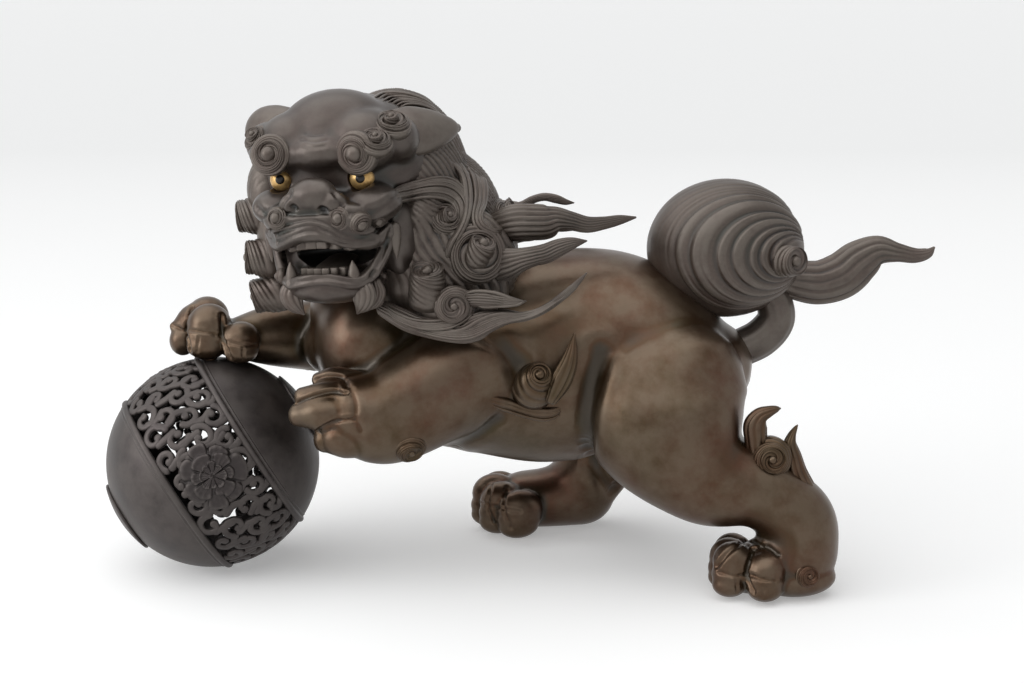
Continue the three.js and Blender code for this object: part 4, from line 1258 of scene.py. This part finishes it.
def make_mane_locks():
    locks = {name: picture_lock(places, 18, 0.14, 110, 60) for name, places in LOCKS.items()}
    crest = locks.pop("crest")
    settle(crest, "lock_crest", *ON_HEAD, nodes=("mane_lock_crest",), rounds=6)
    under = lump(at_depth(452, 309, -62), (17, 7, 11))
    both = join([copy_of(locks["long"]), copy_of(locks["lower"]), copy_of(under)])
    skirt = Surface(both)
    bpy.data.objects.remove(both)
    hair = [strands_at(skirt, guides, count, 1.0, 1.2, 0.3) for guides, count in SKIRT_HAIR]
    hair.append(under)
    spot = at_depth(454, 306, -68)
    hair.append(curl(spot, (0.05, -1, 0.12), 10.5, 6, turns=2, hand=-1, hairs=4, knob=0.26, crown=0.58))
    locks["skirt"] = join(hair)
    for name, left in locks.items():
        shift = Matrix.Translation(FAR_LOCK_SHIFT.get(name, (0, 0, 0)))
        right = copy_of(left, shift @ LEFT_TO_RIGHT)
        for lock, side in ((left, "left"), (right, "right")):
            nodes = () if name == "skirt" else (f"mane_lock_{name}_{side}",)
            settle(lock, f"lock_{name}_{side}", *ON_HEAD, nodes=nodes, rounds=6)


# Tail


TAIL_STEM = [
    (108, 0, 109, 10, 10), (124, 0, 120.5, 10.5, 10.5), (138, 0, 128, 10.8, 10.8),
    (146, 0, 138, 10.5, 10.5), (144.5, 0, 149, 10, 10), (137, 0, 157, 9, 9),
]
TAIL_TIP = [
    (148, 0, 162, 9, 8), (160, 0, 160, 11.5, 8), (170.6, 0, 159.5, 12.5, 7.5), (182, 0, 163.5, 13.2, 7),
    (191.4, 0, 171.5, 12, 6), (201, 0, 177, 8.6, 5), (211.6, 0, 176, 5.4, 4), (221.5, 0, 174.3, 4.2, 3.2),
    (228.4, 0, 175.6, 3, 2.4), (231.6, 0, 178.6, 0.8, 0.8),
]


def make_tail():
    stem = sweep(TAIL_STEM, Y_UP, 56, 44, 10, 0.05)
    settle(stem, "tail_stem_carved", *ON_TAIL, nodes=("tail_stem",))
    plume = lump(PLUME_CENTRE, PLUME_HALF, segments=340, rings=236)
    whorl(plume)
    settle(plume, "tail_plume_carved", *ON_TAIL, nodes=("tail_plume",), rounds=8)
    tip = sweep(TAIL_TIP, Y_UP, 84, 70, 13, 0.17, 9)
    settle(tip, "tail_tip_carved", *ON_TAIL, nodes=("tail_tip",), rounds=6)
    looks = {"turns": 2.2, "hairs": 3, "crown": 0.84, "groove": 0.14}
    button = curl(BUTTON_CENTRE, (0.6, -0.8, 0.1), 8.6, 9, **looks)
    far = copy_of(button, LEFT_TO_RIGHT)
    for piece, side in ((button, "left"), (far, "right")):
        settle(piece, f"tail_whorl_{side}", *ON_TAIL, nodes=(f"tail_button_{side}",), rounds=8)


PLUME_FOLDS = (74, 66.5, 53, 44.5, 35, 29, 22, 16.5)


def whorl(plume):
    """Draws the plume's hair as fine lines that all spring from its rear end and bend round to the front.
    Each line is named by how far in front of that end it reaches."""
    rng = np.random.default_rng(21)
    points, normals = points_of(plume), normals_of(plume)
    back = np.maximum(PLUME_ROOT_X + 0.5 - points[:, 0], 0.5)
    rise = (points[:, 2] - PLUME_CENTRE[2]) * PLUME_HALF[0] / PLUME_HALF[2]
    reach = (back**2 + rise**2) / back
    wander = reach * (1 + 0.012 * np.sin(points[:, 2] * 0.09) + 0.008 * np.sin(points[:, 1] * 0.11))
    sink = np.zeros(len(points))
    for place in PLUME_FOLDS:
        gap = (wander - place) / (0.012 * place + 0.3)
        sink += rng.uniform(0.9, 1.7) * np.where(gap < 0, np.exp(-(gap**2)), np.exp(-((gap / 5) ** 2)))
    for place in np.cumsum(rng.uniform(1.1, 3.4, 38)) + 8:
        gap = (wander - place) / 0.55
        fade = 0.5 + 0.5 * np.sin(points[:, 2] * rng.uniform(0.04, 0.1) + rng.uniform(0, 6))
        sink += rng.uniform(0.15, 0.5) * fade * np.exp(-(gap**2))
    set_points(plume, points - normals * sink[:, None])


# Ball, drawn in its own frame: Z through the caps, X to the front


def band_point(along, across, out=0.0):
    """A point of the band: millimetres along the middle line and across it, and out of the ball's surface."""
    longitude, latitude = along / BALL_RADIUS, across / BALL_RADIUS
    reach = BALL_RADIUS + out
    return (
        reach * math.cos(latitude) * math.cos(longitude),
        reach * math.cos(latitude) * math.sin(longitude),
        reach * math.sin(latitude),
    )


def keep_above(obj, height):
    """Cuts off what lies below a height."""
    activate(obj)
    bpy.ops.object.mode_set(mode="EDIT")
    bpy.ops.mesh.select_all(action="SELECT")
    bpy.ops.mesh.bisect(plane_co=(0, 0, height), plane_no=Z_UP, clear_inner=True)
    bpy.ops.object.mode_set(mode="OBJECT")
    return obj


def make_cap():
    edge = BALL_RADIUS * math.sin(BAND_EDGE + CAP_GAP)
    cap = keep_above(lump((0, 0, 0), [BALL_RADIUS] * 3, segments=128, rings=80), edge)
    return modify(cap, "SOLIDIFY", thickness=BALL_WALL, offset=-1)


def make_fillet():
    """The bead along the band's edge, and the thin line beside it on the cap."""
    beads = []
    reach = BALL_RADIUS - FILLET_SINK
    for angle, radius in ((BAND_EDGE, FILLET_RADIUS), (BAND_EDGE + LINE_STEP, LINE_RADIUS)):
        deselect()
        bpy.ops.mesh.primitive_torus_add(
            location=(0, 0, reach * math.sin(angle)),
            major_radius=reach * math.cos(angle),
            minor_radius=radius,
            major_segments=160,
            minor_segments=18,
        )
        beads.append(bpy.context.object)
        bpy.ops.object.transform_apply(location=True, rotation=True, scale=True)
    return join(beads)


def make_pole_disc():
    low = BALL_RADIUS * math.cos(POLE_DISC_RADIUS / BALL_RADIUS)
    disc = keep_above(lump((0, 0, 0), [BALL_RADIUS + POLE_DISC_PROUD] * 3, segments=96, rings=96), low)
    modify(disc, "SOLIDIFY", thickness=POLE_DISC_PROUD, offset=-1)
    return modify(disc, "BEVEL", width=0.5, segments=2, limit_method="ANGLE")


def make_caps():
    """The two caps with their fillets and pole discs."""
    pieces = (
        (make_cap(), "ball_cap_turned", "ball_cap"),
        (make_fillet(), "ball_fillet", "ball_bead"),
        (make_pole_disc(), "pole_disc", "ball_pole_disc"),
    )
    for piece, name, node in pieces:
        other = copy_of(piece, Matrix.Rotation(math.pi, 4, "X"))
        for part, side in ((piece, "right"), (other, "left")):
            settle(part, f"{name}_{side}", *ON_BALL, BALL, (f"{node}_{side}",), 40)


def scroll(along, across, radius, turns, start, hand, half=2.1):
    """A volute that winds in on the band about a centre to a round bud."""
    stations = []
    for t in np.linspace(0, 1, 16):
        angle = start + hand * turns * 2 * math.pi * t
        reach = radius * (1 - 0.72 * t)
        spot = band_point(along + reach * math.cos(angle), across + reach * math.sin(angle), -SCROLL_SINK)
        stations.append((*spot, half * (1 - 0.25 * t), SCROLL_HALF_THICK))
    coil = sweep(stations, None, 12, 34)
    return [coil, lump(stations[-1][:3], (2.4, 2.4, 2.4), segments=14, rings=8)]


def bar(points, half=2.2):
    """A bar of the openwork through places on the band."""
    stations = [(*band_point(u, v, -SCROLL_SINK), half, SCROLL_HALF_THICK) for u, v in points]
    return sweep(stations, None, 12, 30)


def make_band():
    """Rows of open scrolls that touch one another and the fillets, with their faces turned level."""
    pitch = 2 * math.pi * BALL_RADIUS / SCROLL_COLUMNS
    rng = np.random.default_rng(8)
    pieces = []
    for row, across in enumerate(SCROLL_ROWS):
        for column in range(SCROLL_COLUMNS):
            along = (column + 0.5 * (row % 2)) * pitch
            hand = 1 if (row + column) % 2 else -1
            radius = SCROLL_RADIUS * rng.uniform(0.85, 1.15)
            pieces += scroll(along, across, radius, rng.uniform(0.75, 1.0), rng.uniform(0, 6.28), hand)
            reach = SCROLL_ROWS[1] - SCROLL_ROWS[0] if row < len(SCROLL_ROWS) - 1 else SCROLL_RADIUS
            lean = rng.uniform(-3, 3)
            foot, top = (along + 5, across), (along + 4, across + reach)
            pieces.append(bar([foot, (along + 5 + lean, across + reach / 2), top]))
    band = join(pieces)
    points = points_of(band)
    far = np.linalg.norm(points, axis=1, keepdims=True)
    level = BALL_RADIUS - 0.5
    set_points(band, points * np.where(far > level, (level + 0.25 * (far - level)) / far, 1.0))
    settle(band, "ball_scrollwork", *ON_BALL, BALL, ("ball_openwork_band",), rounds=8)


def petal_ring(angle, reach, radius, count, offset, height):
    """The height of a ring of uneven petals with a vein fan, a rolled edge and a line between neighbours."""
    place = angle / (2 * math.pi) * count + offset + 0.16 * np.sin(2 * angle + offset * 9)
    petal = np.floor(place)
    place = place - petal
    size = 1 + 0.1 * np.sin(petal * 2.4 + offset * 5)
    edge = radius * size * (0.78 + 0.22 * np.sin(math.pi * place) ** 0.5)
    share = reach / edge
    inside = np.clip((1 - share) * radius / 0.9, 0, 1) ** 0.5
    vein = 0.09 * np.abs(np.cos(4 * math.pi * place)) * np.clip(share, 0, 1)
    parting = 0.45 * np.exp(-((np.minimum(place, 1 - place) * 14) ** 2)) * np.clip(share * 1.3, 0, 1)
    roll = 0.22 * np.exp(-(((share - 0.86) / 0.1) ** 2))
    return inside * height * (0.8 - vein - parting + roll)


def make_peonies():
    rows, sides = 70, 190
    reach = np.linspace(0.02, PEONY_RADIUS, rows)[:, None]
    angle = np.linspace(0, 2 * math.pi, sides, endpoint=False)[None]
    rings = ((1.0, 7, 0.0, 2.4), (0.7, 6, 0.4, 3.5), (0.42, 8, 0.1, 4.3), (0.14, 5, 0.6, 4.6))
    height = np.maximum.reduce(
        [petal_ring(angle, reach, PEONY_RADIUS * share, *petals) for share, *petals in rings]
    )
    outer = BALL_RADIUS - PEONY_SINK + height
    tilt = reach / BALL_RADIUS * np.ones_like(angle)

    def cup(radius):
        around = (np.cos(tilt), np.sin(tilt) * np.cos(angle), np.sin(tilt) * np.sin(angle))
        return np.stack([radius * part for part in around], axis=-1)

    top = cup(outer)[::-1].reshape(-1, 3)
    base = cup(np.full_like(outer, BALL_RADIUS - BALL_WALL))[-1]
    points = np.vstack([base, top, [[BALL_RADIUS - BALL_WALL, 0, 0], [outer[0].mean(), 0, 0]]])
    flower = face_out(new_object("peony", points, grid_faces(rows + 1, sides)))
    for i in range(PEONY_COUNT):
        turn = math.radians(PEONY_PHASE) + 2 * math.pi * i / PEONY_COUNT
        bloom = copy_of(flower, Matrix.Rotation(turn, 4, "Z"))
        settle(bloom, f"peony_carved_{i + 1}", *ON_BALL, BALL, (f"ball_peony_{i + 1}",), rounds=6)
    bpy.data.objects.remove(flower)


# Stage


def make_stage():
    deselect()
    bpy.ops.mesh.primitive_plane_add(size=FLOOR_SIZE, location=(0, 0, 0))
    floor = bpy.context.object
    floor.name = "floor"
    material = bpy.data.materials.new("paper_floor")
    material.use_nodes = True
    tree = material.node_tree
    shader = tree.nodes["Principled BSDF"]
    coords = add_node(tree, "ShaderNodeTexCoord").outputs["Object"]
    parts = add_node(tree, "ShaderNodeSeparateXYZ")
    tree.links.new(coords, parts.inputs["Vector"])
    # painted shade: the floor turns greyer and glows less farther back, as the light falls off
    far = span(tree, parts.outputs["Y"], 0.0, FLOOR_FADE)
    tones = [(0.3, (0.77, 0.775, 0.775)), (0.7, (0.79, 0.795, 0.795))]
    near_paper = ramp(tree, noise(tree, coords, 0.6, 2), tones)
    tree.links.new(blend(tree, far, near_paper, (0.72, 0.725, 0.725)), shader.inputs["Base Color"])
    shader.inputs["Roughness"].default_value = 0.9
    shader.inputs["Emission Color"].default_value = (1, 1, 1, 1)
    background = seen_as_background(tree)
    glow = times(tree, background, span(tree, far, 0.0, 1.0, FLOOR_GLOW, FLOOR_GLOW * FAR_GLOW_SHARE))
    tree.links.new(glow, shader.inputs["Emission Strength"])
    floor.data.materials.append(material)


def add_light(name, kind, place, turn, **settings):
    light = bpy.data.lights.new(name, kind)
    for key, value in settings.items():
        setattr(light, key, value)
    obj = bpy.data.objects.new(name, light)
    obj.location = place
    obj.rotation_euler = turn
    bpy.context.scene.collection.objects.link(obj)


def make_lights():
    lean = [math.radians(a) for a in (*SUN_LEAN, 0)]
    add_light("ceiling", "SUN", (0, 0, 0), lean, energy=SUN_STRENGTH, angle=math.radians(SUN_SPREAD))
    aim = (Vector(SOFTBOX_TARGET) - Vector(SOFTBOX_PLACE)).to_track_quat("-Z", "Y").to_euler()
    looks = {"shape": "DISK", "size": SOFTBOX_SIZE, "energy": SOFTBOX_POWER}
    add_light("left_softbox", "AREA", SOFTBOX_PLACE, aim, **looks)
    world = bpy.data.worlds.new("studio")
    bpy.context.scene.world = world
    world.use_nodes = True
    tree = world.node_tree
    background = tree.nodes["Background"]
    background.inputs["Color"].default_value = (0.98, 0.99, 1.0, 1)
    strength = span(tree, seen_as_background(tree), 0, 1, ROOM_LIGHT, ROOM_WHITE)
    tree.links.new(strength, background.inputs["Strength"])


def make_camera():
    data = bpy.data.cameras.new("camera")
    data.lens = LENS
    data.sensor_width = SENSOR_WIDTH
    camera = bpy.data.objects.new("camera", data)
    camera.location = FIGURE @ CAMERA_PLACE
    camera.rotation_euler = (math.radians(90 - CAMERA_PITCH), 0, 0)
    bpy.context.scene.collection.objects.link(camera)
    bpy.context.scene.camera = camera


make_camera()
make_body()
plain_face = make_face()
make_eyes()
make_mouth()
make_mane(plain_face)
make_mane_locks()
make_tail()
make_caps()
make_band()
make_peonies()
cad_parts["paw_peg"].data.materials.clear()
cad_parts["paw_peg"].data.materials.append(BODY_BRONZE)
make_stage()
make_lights()
bpy.context.scene.view_settings.view_transform = "Standard"
